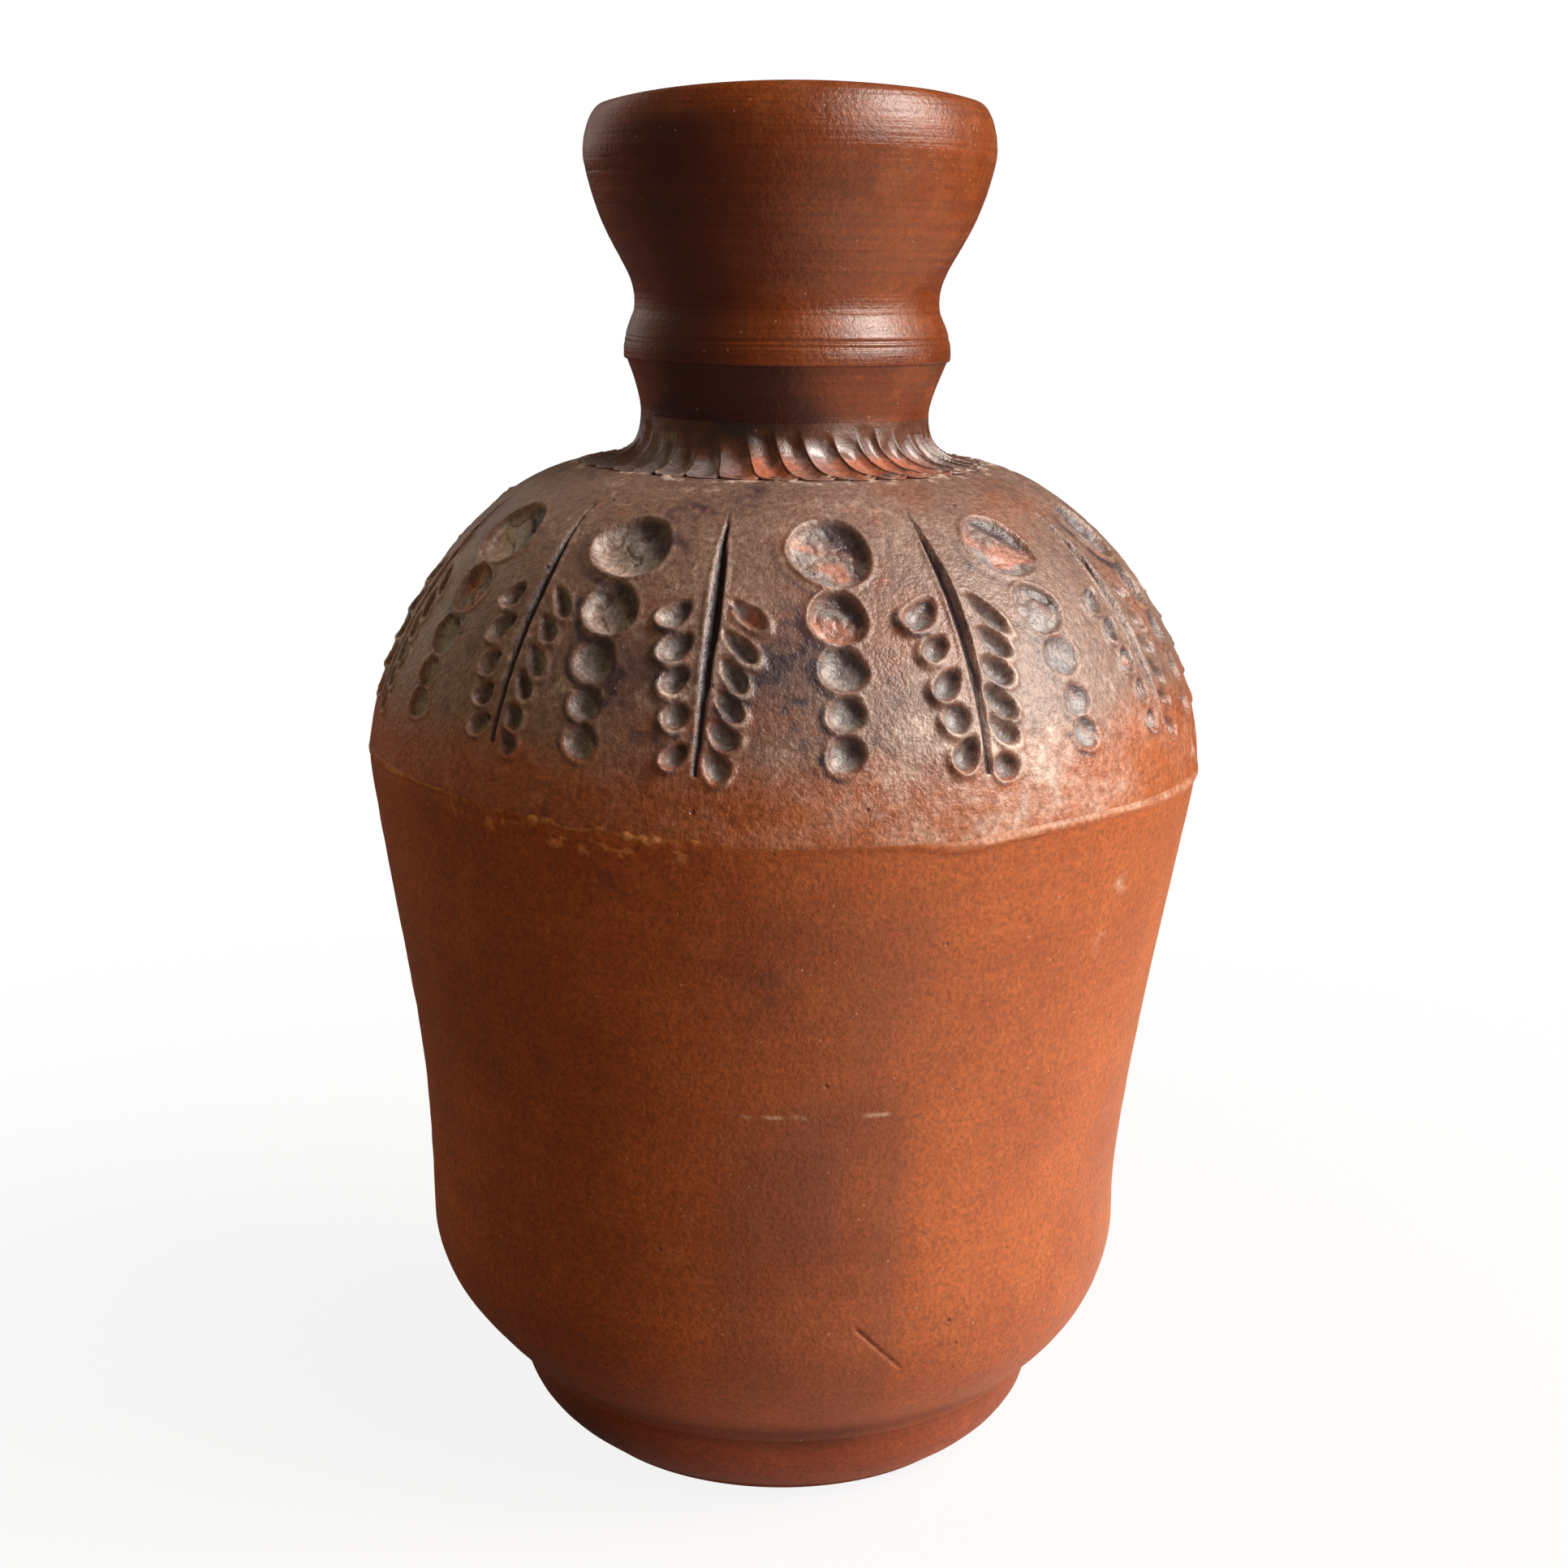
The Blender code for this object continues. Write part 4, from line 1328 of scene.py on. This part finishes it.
    def stains(self, places: Array) -> dict:
        """Smoke, grey prints, bare red clay and dry pale crumbs over the dome's outside, with painted shade,
        a painted sheen and painted highlights.

        Args:
            places: Points of the plain dome.

        Returns:
            The amount of each stain at each point.
        """
        degrees, down = degrees_right(self.angles)[None, :], self.downs[:, None]
        cloudy, patchy = noise_sum(self.cloudy, places), noise_sum(self.patches, places)
        open_clay = 1 - self.grey
        fade = down + 5 * cloudy + 6 * ease(degrees, 20.0, 60.0)
        ash = 1.05 * (1 - ease(fade, 50.0, 68.0)) * (0.95 + 0.3 * cloudy)
        smoke = sum(patch(cloud, degrees, down) for cloud in self.clouds)
        smoke = smoke + 0.35 * ease(cloudy, 0.1, 0.9) * (1 - ease(down, 48.0, 60.0))
        purple = 0.55 * ease(-patchy, 0.05, 1.0) * (1 - ease(down, 54.0, 64.0))
        bare = self.bare * ease(self.bare_gaps.at(places), -0.6, 0.1)
        chips = 0.5 * ease(noise_sum(self.chips, places), 0.85, 1.0) * open_clay
        crumbs = ease(noise_sum((self.crumbs, self.crumb_patches), places), -0.1, 0.6)
        crumbs = crumbs * (1 - ease(down, 1.0, 3.2))
        # Pale patches on the raised rims of the prints
        pale_rims = 0.65 * ease(self.rim, 0.14, 0.42) * ease(self.rim_patches.at(places), -0.35, 0.4) * open_clay
        tan = 0.5 * ease(patchy, 0.05, 1.0) * (1 - ease(down, 46.0, 58.0))
        # Painted sheen on the lower right of the dome
        painted_sheen = patch(self.painted_sheen, degrees, down) * (0.8 + 0.6 * patchy)
        edge = patch(self.chipped_edge, degrees, down) * ease(self.edge_chips.at(places), 0.3, 0.5)
        # Crumbs, pale rims, chips and tan patches, with the painted sheen and the prints' painted highlights
        dust_and_sheen = 1.6 * crumbs + pale_rims + edge + (tan + painted_sheen) * open_clay * (1 - self.dark)
        dust_and_sheen += 0.35 * self.torn * self.grey + 0.5 * self.pale
        # The smoke layer also takes the shade painted in the prints, stems and cracks
        return {Stain.ASH: ash, Stain.SOOT: smoke + purple + self.dark, Stain.GREY: 0.85 * self.grey,
                Stain.BARE: bare + chips, Stain.DUST: dust_and_sheen}


@dataclass
class SeamCoil(Section):
    """The thin roll of slip pressed over the seam: a proud bead at the right, crumbs at the left."""

    wall: OuterWall
    half_width: float = 2.4
    sink: float = 0.3
    root: float = 1.6
    proud: float = 0.26
    rows: int = 13
    columns: int = 900
    bead: Span = Span(14.0, 26.0, 66.0, 84.0, 0.5)
    bead_patches: Noise = Noise(3.0, 74, 0.5)
    crumbled: Bell = Bell(-24.0, 20.0)
    crumbs: Noise = Noise(1.5, 71)
    thread_gaps: Noise = Noise(7.0, 73)
    unevenness: Noise = Noise(5.0, 72, 0.08)

    def build(self) -> None:
        """Carries a bell-shaped section around the wavy seam; the bell's height varies around it."""
        angle = columns_around(self.columns)[None, :]
        degrees = degrees_right(angle)
        across = np.linspace(1.0, -1.0, self.rows)[:, None]
        middle = self.sizes.seam_height + self.hand.seam_wave(angle, self.sizes.seam_height)
        height = middle + self.half_width * across
        radius, _ = self.wall.at(height)
        places = turned(radius, height, angle)
        bead = self.bead.at(degrees)
        crumb = ease(self.crumbs.at(places), 0.0, 0.5) * self.crumbled.at(degrees)
        thread = (1 - ease(degrees, -8.0, 4.0)) * ease(self.thread_gaps.at(places), -0.5, 0.1)
        proud = self.proud + bead + 0.4 * crumb + self.unevenness.at(places)
        relief = (proud + self.sink) * hump(across, 0.0, 0.45) - self.sink
        root = turned(self.sizes.seam_radius - self.root, middle, angle)
        points = np.concatenate([turned(*self.wall.at(height, relief), angle), root])
        grid = TurnedGrid(self.hand.bend(points, self.sizes.rim_height), (0, self.rows - 1))
        grid.stains[Stain.DUST][:-1] = 0.6 * crumb + 0.9 * thread * hump(across, 0.0, 0.2)
        # The bead's pale colour, heaviest along its upper edge, is partly pale slip and partly a highlight
        # painted where light catches the ridge
        pale_slip_and_highlight = 1.35 * bead * hump(across, 0.15, 0.4)
        grid.stains[Stain.BARE][:-1] = pale_slip_and_highlight * (1 + self.bead_patches.at(places))
        place_piece(grid, "seam_slip_bead", "seam_coil", SEAM_CLAY.material())


@dataclass
class Collar(Section):
    """The fluted flare at the foot of the neck: scoops side by side, with rounded lower ends."""

    neck_radius: float
    flutes: int = 43
    columns_per_flute: int = 22
    seed: int = 17
    widening: float = 0.2
    depth: float = 0.95
    tilt: float = 1.6
    slant: float = math.radians(7.0)
    rim: float = 0.12
    inside: float = 24.6
    unevenness: Noise = Noise(1.4, 81, 0.1)
    patches: tuple = (Noise(7.0, 82), Noise(2.5, 83, 0.5))
    red_everywhere: float = 0.12
    red: tuple = (Bell(-7.0, 11.0, 0.8), Bell(34.0, 30.0, 0.95), Bell(150.0, 40.0, 0.4))
    crumbs: Noise = Noise(1.2, 84)
    # Shade painted on the top of the flare under the neck, at the front and left
    painted_shade_under_neck: Bell = Bell(-18.0, 38.0, 0.95)

    def build(self) -> None:
        """Scoops each flute with its deepest line right of its middle, and rounds its lower end.

        The depth across a flute is the sine of half a turn times the share of its width raised to
        the tilt, so each flute's left edge stands over the right side of the one before it.
        """
        sizes, low = self.sizes, self.sizes.shelf_height + self.sizes.slip
        rise, width = sizes.collar_top - low, sizes.collar_radius - self.neck_radius
        outer = cubic((self.neck_radius, sizes.collar_top), (0.0, -0.82 * rise), (-0.58 * width, 0.01 * rise),
                      (sizes.collar_radius, low + self.rim), 44)
        share = np.linspace(0.0, 1.0, len(outer))[:, None]
        angle = columns_around(self.flutes * self.columns_per_flute)[None, :]
        places = turned_path(outer, angle)
        rng = np.random.default_rng(self.seed)
        across, flute = self.across_flutes(share, angle, rng)
        deep, reach = (rng.uniform(*limits, self.flutes)[flute] for limits in ((0.75, 1.2), (-0.15, 0.12)))
        bow = np.abs(2 * across - 1) ** 3
        end = 0.97 - 0.2 * bow
        scoop = np.sin(np.pi * across**self.tilt) ** 0.8 * ease(share, reach, reach + 0.3)
        scoop = scoop * (1 - 0.75 * ease(share, end - 0.3, end))
        ridge = 0.25 * np.exp(-across / 0.06) * ease(share, 0.25, 0.5)
        relief = (ridge - self.depth * deep * scoop) * ease(share, 0.02, 0.12)
        radius, height = raised(outer, relief + self.unevenness.at(places) * ease(share, 0.3, 0.6))
        radius = radius - (1.5 * bow + 0.5 * (deep - 0.75)) * ease(share, 0.7, 1.0)
        edge = turned(radius[-1:] - 0.35, low - 0.25, angle)
        hidden = np.array([(self.inside, low), (self.inside, sizes.collar_top)])
        fluted = np.concatenate([turned(radius, height, angle), edge])
        grid = self.closed(fluted, hidden, angle, (0, len(outer)))
        half = 0.5 * ease(share, reach - 0.15, reach + 0.3)
        petal = 1 - ease(np.abs(across - 0.5), half - 0.06, half)
        self.stain(grid, places, share, degrees_right(angle), petal, end)
        place_piece(grid, "collar_fluted", "collar", COLLAR_CLAY.material())

    def across_flutes(self, share: Array, angle: Array, rng: np.random.Generator) -> tuple:
        """Finds each point's flute; their edges are uneven, and they are wider at the front than behind.

        Args:
            share: How far each row is down the flare, from 0 to 1.
            angle: Angle of each column.
            rng: Draws the uneven edges.

        Returns:
            How far each point is across its flute, from 0 to 1, and the flute's number.
        """
        edges = np.arange(self.flutes + 1) + np.append(rng.uniform(-0.16, 0.16, self.flutes), 0.0)
        edges[-1] = edges[0] + self.flutes
        spread = angle - self.widening * np.sin(angle - 0.1)
        turn = (spread + math.pi + self.slant * (1 - share)) / math.tau * self.flutes
        turn = (turn - edges[0]) % self.flutes + edges[0]
        flute = np.clip(np.searchsorted(edges, turn, side="right") - 1, 0, self.flutes - 1)
        return (turn - edges[flute]) / (edges[flute + 1] - edges[flute]), flute

    def stain(self, grid: TurnedGrid, places: Array, share: Array, degrees: Array, petal: Array,
              end: Array) -> None:
        """Red where the scraper lifted the skin, grey in other scoops, deep brown gaps, pale crumbs at the
        ends, and painted shade under the neck.

        Args:
            grid: The collar.
            places: Points of its outer rows before the scoops.
            share: How far each row is down the flare, from 0 to 1.
            degrees: Degrees to the right of the front for each column.
            petal: How far each point is inside a scoop's tongue-shaped floor.
            end: Share at which each scoop ends.
        """
        rows, patchy = len(share), noise_sum(self.patches, places)
        red = self.red_everywhere + sum(bell.at(degrees) for bell in self.red)
        bare = red * ease(patchy + 0.6 * share + 0.5 * red, 0.2, 0.6) * ease(share, 0.2, 0.45)
        crumbs = ease(self.crumbs.at(places), -0.2, 0.5) * ease(share - end, -0.05, 0.06)
        # Painted shade under the neck
        under_neck = self.painted_shade_under_neck.at(degrees) * (1 - ease(share + 0.15 * patchy, 0.02, 0.3))
        gaps = 0.75 * (1 - petal) * ease(share, 0.05, 0.4)
        grid.stains[Stain.BARE][:rows] = petal * bare
        grid.stains[Stain.GREY][:rows] = petal * ease(share + 0.2 * patchy, 0.1, 0.5) * (0.85 + 0.3 * patchy)
        grid.stains[Stain.DUST][:rows] = 0.9 * crumbs
        grid.stains[Stain.SOOT][:rows] = np.maximum(gaps, under_neck)
        for stain in (Stain.GREY, Stain.DUST, Stain.SOOT):
            grid.stains[stain][rows] = grid.stains[stain][rows - 1]


@dataclass
class NeckAndMouth(Section):
    """The stem, the ring on it, the flared cup and the rolled lip, turned as one running line.

    The stem flares by its flare and a little extra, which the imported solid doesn't have.
    """

    neck_radius: float
    stem_flare: float = 2.4
    stem_extra: float = 0.4
    ring_thickness: float = 3.8
    ring_grooves: tuple = (200.9, 200.0)
    front_grooves: Bell = Bell(12.0, 34.0, 0.26)
    throat_flare: float = 1.4
    wall: float = 6.2
    socket: float = 8.3
    socket_inset: float = 1.1
    tongue: float = 4.0
    lip_thickness: float = 7.6
    lip_crest: float = 3.4
    columns: int = 600
    line_stretch: tuple = (0.06, 0.06, 1.0)
    line_bands: Noise = Noise(5.0, 91, 0.5)
    fine_lines: Noise = Noise(0.75, 92, 0.05)
    unevenness: Noise = Noise(15.0, 93, 0.12)
    # Shade painted over the left side of all four pieces
    shaded: Bell = Bell(-36.0, 34.0, 0.85)
    # Shade painted on the stem under the ring, at the front and left
    stem_painted_shade: Bell = Bell(-8.0, 30.0, 0.7)

    def __post_init__(self) -> None:
        """Lays out the columns and makes the one burnished clay."""
        self.angle = columns_around(self.columns)[None, :]
        self.degrees = degrees_right(self.angle)
        self.bore = self.neck_radius - self.wall
        self.clay = NECK_CLAY.material()

    def lines(self, path: Array) -> Array:
        """Turning lines on a path: fine ridges that run around, stronger in some bands than in others.

        Args:
            path: An outer path.

        Returns:
            The relief at each point.
        """
        places = turned_path(path, self.angle)
        flat = places * np.array(self.line_stretch)
        band = 0.5 + self.line_bands.at(flat)
        return band * self.fine_lines.at(flat) + self.unevenness.at(places)

    def write(self, outer: Array, relief: Array, hidden: Array, sharp: tuple, name: str, node: str,
              smoke: Array | float = 0.0) -> None:
        """Turns an outer path with its relief and a plain hidden path into one closed piece.

        Args:
            outer, hidden: The two paths, one after the other.
            relief: How far each point of the outer path is moved out.
            sharp: Rows along which the shading breaks.
            name, node: The piece's name and the node that it stands for.
            smoke: Added to the shade painted at the left of all four pieces; darker where positive, painted
                light where negative.
        """
        grid = self.closed(turned(*raised(outer, relief), self.angle), hidden, self.angle, sharp)
        # Shade painted at the left, plus the piece's own share
        grid.stains[Stain.SOOT][: len(outer)] = smoke + self.shaded.at(self.degrees)
        place_piece(grid, name, node, self.clay)

    def build(self) -> None:
        """Builds the four pieces from the collar up."""
        self.build_stem()
        self.build_ring()
        self.build_cup()
        self.build_lip()

    def build_stem(self) -> None:
        """The stem between the collar and the ring: a waist that flares upwards."""
        foot, top, radius = self.sizes.collar_top, self.sizes.ring_low, self.neck_radius
        rise, low, high = top - foot, foot - self.socket, top + self.tongue
        outer = cubic((radius + self.stem_flare + self.stem_extra, top), (-0.08 * rise, -0.2 * rise),
                      (0.0, 0.30 * rise), (radius, foot), 34)
        inset = radius - self.socket_inset
        hidden = np.array([(inset, foot), (inset, low), (self.bore, low), (self.bore, high), (radius, high),
                           (radius, top)])
        # Darker towards the stem's foot, and shade painted under the ring at the front and left
        smoke = 0.35 * (1 - ease(outer[:, 1:], foot, foot + 6.0)) + self.stem_painted_shade.at(self.degrees)
        sharp = (0, len(outer) - 1, len(outer) + 2, len(outer) + 3)
        self.write(outer, 0.7 * self.lines(outer), hidden, sharp, "neck_stem", "neck", smoke)

    def build_ring(self) -> None:
        """The ring: a bulge with two uneven grooves around it and a crisp lower edge."""
        low, high, thick = self.sizes.ring_low, self.sizes.ring_top, self.ring_thickness
        rise, radius, inside = high - low, self.neck_radius, self.neck_radius + self.sizes.slip
        outer = cubic((radius + self.throat_flare, high), (0.14 * thick, -0.18 * rise),
                      (0.09 * thick, 0.42 * rise), (radius + 0.86 * thick, low + 0.25), 46)
        corner = [(radius + 0.82 * thick, low), (radius + 0.60 * thick, low - 0.05)]
        hidden = np.array([(inside, low + 0.1), (inside, high)])
        path = np.concatenate([outer, corner])
        height, upper, lower = path[:, 1:], *self.ring_grooves
        drift = 0.25 * np.sin(2 * self.angle + 0.6) + 0.12 * np.sin(5 * self.angle + 1.9)
        strength = 0.55 + 0.45 * np.sin(3 * self.angle + 0.4)
        groove = hump(height, upper + drift, 0.30) + strength * hump(height, lower + 0.6 * drift, 0.26)
        relief = self.lines(path) - (0.1 + self.front_grooves.at(self.degrees)) * groove
        relief[len(outer):] = 0.0
        self.write(path, relief, hidden, (0, len(path)), "neck_ring_turned", "neck_ring")

    def build_cup(self) -> None:
        """The cup: a wall that swings out from the throat to the mouth."""
        low, high, radius = self.sizes.ring_top, self.sizes.lip_low, self.neck_radius
        rise, joint = high - low, self.sizes.ring_low + self.tongue
        outer = cubic((self.sizes.mouth_radius, high), (-0.13 * rise, -0.65 * rise),
                      (-0.04 * rise, 0.30 * rise), (radius + self.throat_flare, low), 76)
        inner = offset_inwards(outer, self.wall)[::-1][2::7]
        inner = inner[inner[:, 1] < high - 2.5]
        throat = [(radius, low), (radius, joint), (self.bore, joint)]
        hidden = np.concatenate([throat, inner, [(self.sizes.mouth_radius - self.wall, high)]])
        sharp = (0, len(outer) - 1, len(outer) + 2, len(outer) + len(hidden) - 1)
        self.write(outer, self.lines(outer), hidden, sharp, "mouth_cup_thrown", "mouth_cup")

    def build_lip(self) -> None:
        """The lip: a thick roll, fuller inside than the wall below it, with painted light near its crest that
        lifts the painted shade.
        """
        low, high, mouth = self.sizes.lip_low, self.sizes.rim_height, self.sizes.mouth_radius
        rise, crest = high - low, (mouth - self.lip_crest, high)
        fuller = self.lip_thickness - self.wall
        inner = cubic((mouth - self.wall, low), (-1.6 * fuller, 0.45 * rise), (-0.75 * self.lip_crest, 0.0),
                      crest, 20)
        outer = cubic(crest, (0.62 * self.lip_crest, 0.0), (0.06 * rise, 0.46 * rise), (mouth, low), 30)
        path = np.concatenate([inner[:-1], outer])
        hidden = np.array([(mouth - 0.5 * self.wall, low)])
        relief = 0.8 * self.lines(path)
        relief[0] = 0.0
        # Painted light from above near the crest, which lifts the shade painted at the left
        painted_top_light = 0.8 * ease(path[:, 1:], high - 6.0, high - 2.5)
        self.write(path, relief, hidden, (0, len(path) - 1), "lip_rolled", "lip", -painted_top_light)


@dataclass(frozen=True)
class Lamp:
    """An oblong soft lamp that faces the vase.

    The bearing is degrees to the right of the camera and degrees above the horizon. Distance and
    size are metres and the power is watts. Glossy clay shows the lamp if it is mirrored.
    """

    name: str
    bearing: tuple
    distance: float
    size: tuple
    power: float
    colour: str
    mirrored: bool = True

    def add(self, middle: Vector) -> None:
        """Adds the lamp at its bearing from the middle of the vase.

        Args:
            middle: Where the lamp aims, in metres.
        """
        side, lift = (math.radians(value) for value in self.bearing)
        towards = Vector((math.sin(side) * math.cos(lift), -math.cos(side) * math.cos(lift), math.sin(lift)))
        data = bpy.data.lights.new(self.name, "AREA")
        data.shape = "RECTANGLE"
        data.size, data.size_y = self.size
        data.energy = self.power
        data.color = linear(self.colour)[:3]
        lamp = bpy.data.objects.new(self.name, data)
        lamp.visible_glossy = self.mirrored
        lamp.location = middle + self.distance * towards
        lamp.rotation_euler = towards.to_track_quat("Z", "Y").to_euler()
        bpy.context.scene.collection.objects.link(lamp)


@dataclass
class Studio:
    """A pale floor, soft light from the right and the camera at the photograph's angle.

    Lengths of the floor are metres. The camera sees white paper with a soft shadow. The clay sees
    a table instead, with light and shade painted on it: painted shade at the left, painted light and
    a faint painted glow at the right, and darker far away.
    """

    camera_back: float = 434.4
    camera_height: float = 216.3
    focal_pixels: float = 3000.0
    pitch: float = math.radians(12.45)
    yaw: float = math.radians(0.06)
    roll: float = math.radians(0.79)
    sensor_mm: float = 36.0
    lamps: tuple = (
        Lamp("key_window", (66.0, 24.0), 1.3, (1.4, 0.8), 14.1, "#FFF6EC"),
        Lamp("ceiling", (74.0, 42.0), 1.4, (0.65, 0.65), 15.0, "#FFF6EC"),
        Lamp("left_glow", (-100.0, 12.0), 1.3, (1.6, 1.6), 8.0, "#FFDEA2", mirrored=False),
        Lamp("back_rim", (-140.0, 20.0), 1.3, (0.8, 0.8), 1.0, "#FFF8F0"),
    )
    lamp_aim: tuple = (0.0, 0.0, 0.12)
    ambient: str = "#D09A62"
    ambient_strength: float = 0.07
    background: str = "#FFFFFF"
    glossy_share: float = 0.05
    floor_half_side: float = 30.0
    paper: str = "#EDEDEB"
    paper_white: float = 0.88
    shadow_fade: tuple = (0.05, 0.40)
    # The clay sees painted light on the table: painted shade at the left, painted light at the right
    table_painted_shade: str = "#5E4632"
    table_painted_light: str = "#E6C2AC"
    light_from: tuple = (-0.04, 0.12)
    table_far: str = "#2C2724"
    far_from: tuple = (0.35, 0.90)
    # A painted glow on the table near the vase, at the right, seen only by the clay
    painted_glow: str = "#FFDACA"
    painted_glow_strength: float = 0.8
    glow_fade: tuple = (0.30, 0.15)

    def build(self) -> None:
        """Adds the camera, the lamps, the floor and the world."""
        self.add_camera()
        for lamp in self.lamps:
            lamp.add(Vector(self.lamp_aim))
        self.add_floor()
        self.add_world()
        bpy.context.scene.view_settings.view_transform = "Standard"

    def add_camera(self) -> None:
        """Aims the camera by pitch, yaw and roll; its lens follows from the focal length in pixels."""
        level = math.cos(self.pitch)
        forward = Vector((math.sin(self.yaw) * level, math.cos(self.yaw) * level, -math.sin(self.pitch)))
        right = forward.cross(Vector((0, 0, 1))).normalized()
        up = right.cross(forward)
        rolled_right = math.cos(self.roll) * right + math.sin(self.roll) * up
        rolled_up = -math.sin(self.roll) * right + math.cos(self.roll) * up
        data = bpy.data.cameras.new("camera")
        data.sensor_width = self.sensor_mm
        data.lens = self.focal_pixels / IMAGE_SIDE * self.sensor_mm
        camera = bpy.data.objects.new("camera", data)
        spin = Matrix((rolled_right, rolled_up, -forward)).transposed().to_4x4()
        camera.matrix_world = Matrix.Translation((0, -self.camera_back * MM, self.camera_height * MM)) @ spin
        bpy.context.scene.collection.objects.link(camera)
        bpy.context.scene.camera = camera

    def add_floor(self) -> None:
        """Adds the floor: one large square with the paper and the table mixed by who sees it."""
        side = self.floor_half_side
        mesh = bpy.data.meshes.new("floor")
        corners = [(-side, -side, 0), (side, -side, 0), (side, side, 0), (-side, side, 0)]
        mesh.from_pydata(corners, [], [(0, 1, 2, 3)])
        floor = bpy.data.objects.new("floor", mesh)
        bpy.context.scene.collection.objects.link(floor)
        made = bpy.data.materials.new("matt white paper")
        made.use_nodes = True
        tree = made.node_tree
        tree.nodes.remove(tree.nodes["Principled BSDF"])
        place = add_node(tree, "TexCoord", output="Object")
        away = add_node(tree, "VectorMath", (place,), "Value", operation="LENGTH")
        paper = add_node(tree, "BsdfDiffuse", {"Color": linear(self.paper)})
        white = add_node(tree, "Emission", {"Strength": 1.0})
        share = add_node(tree, "MapRange", (away, *self.shadow_fade, self.paper_white, 1.0),
                         interpolation_type="SMOOTHSTEP")
        shown = add_node(tree, "MixShader", (share, paper, white))
        across = add_node(tree, "SeparateXYZ", (place,), "X")
        lit = add_node(tree, "MapRange", (across, *self.light_from))
        # Painted light on the table: shade painted at the left, light painted at the right
        shades = {0: lit, 6: linear(self.table_painted_shade), 7: linear(self.table_painted_light)}
        tint = add_node(tree, "Mix", shades, **COLOURS)
        far = add_node(tree, "MapRange", (away, *self.far_from))
        tint = add_node(tree, "Mix", {0: far, 6: tint, 7: linear(self.table_far)}, **COLOURS)
        table = add_node(tree, "BsdfDiffuse", {"Color": tint})
        # A painted glow on the table near the vase, on the lit side
        near = add_node(tree, "MapRange", (away, *self.glow_fade))
        faint = add_node(tree, "Math", (lit, self.painted_glow_strength), operation="MULTIPLY")
        faint = add_node(tree, "Math", (faint, near), operation="MULTIPLY")
        painted_glow = add_node(tree, "Emission", {"Color": linear(self.painted_glow), "Strength": faint})
        table = add_node(tree, "AddShader", (table, painted_glow))
        mixed = add_node(tree, "MixShader", (self.seen_directly(tree), table, shown))
        tree.links.new(mixed, tree.nodes["Material Output"].inputs["Surface"])
        mesh.materials.append(made)

    def seen_directly(self, tree: Tree) -> Socket:
        """1 for camera and transmission rays, a share for glossy ones, so the clay's shade stays deep.

        Args:
            tree: Nodes of the floor or the world.

        Returns:
            How far a ray sees the white studio.
        """
        rays = add_node(tree, "LightPath").node.outputs
        glossy, camera, through = (rays[f"Is {kind} Ray"] for kind in ("Glossy", "Camera", "Transmission"))
        either = add_node(tree, "Math", (glossy, self.glossy_share, camera), operation="MULTIPLY_ADD")
        return add_node(tree, "Math", (either, through), operation="MAXIMUM")

    def add_world(self) -> None:
        """A white background for what sees it directly, and a dim even light for the rest."""
        world = bpy.data.worlds.new("studio")
        world.use_nodes = True
        tree = world.node_tree
        tree.nodes.remove(tree.nodes["Background"])
        dim = add_node(tree, "Background", {"Color": linear(self.ambient), "Strength": self.ambient_strength})
        white = add_node(tree, "Background", {"Color": linear(self.background), "Strength": 1.0})
        mixed = add_node(tree, "MixShader", (self.seen_directly(tree), dim, white))
        tree.links.new(mixed, tree.nodes["World Output"].inputs["Surface"])
        bpy.context.scene.world = world


def main() -> None:
    """Builds the vase from the foot up, then the studio."""
    logging.basicConfig(level=logging.INFO, format="%(name)s: %(message)s")
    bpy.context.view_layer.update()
    sizes, hand = VaseSizes.from_frame(), HandMade()
    wall = OuterWall(sizes)
    neck = NeckAndMouth(sizes, hand, neck_radius=sizes.stem_top_radius - NeckAndMouth.stem_flare)
    Foot(sizes, hand).build()
    LowerBody(sizes, hand, wall).build()
    Shoulder(sizes, hand, wall).build()
    SeamCoil(sizes, hand, wall).build()
    Collar(sizes, hand, neck.neck_radius).build()
    neck.build()
    Studio().build()


if __name__ == "__main__":
    main()
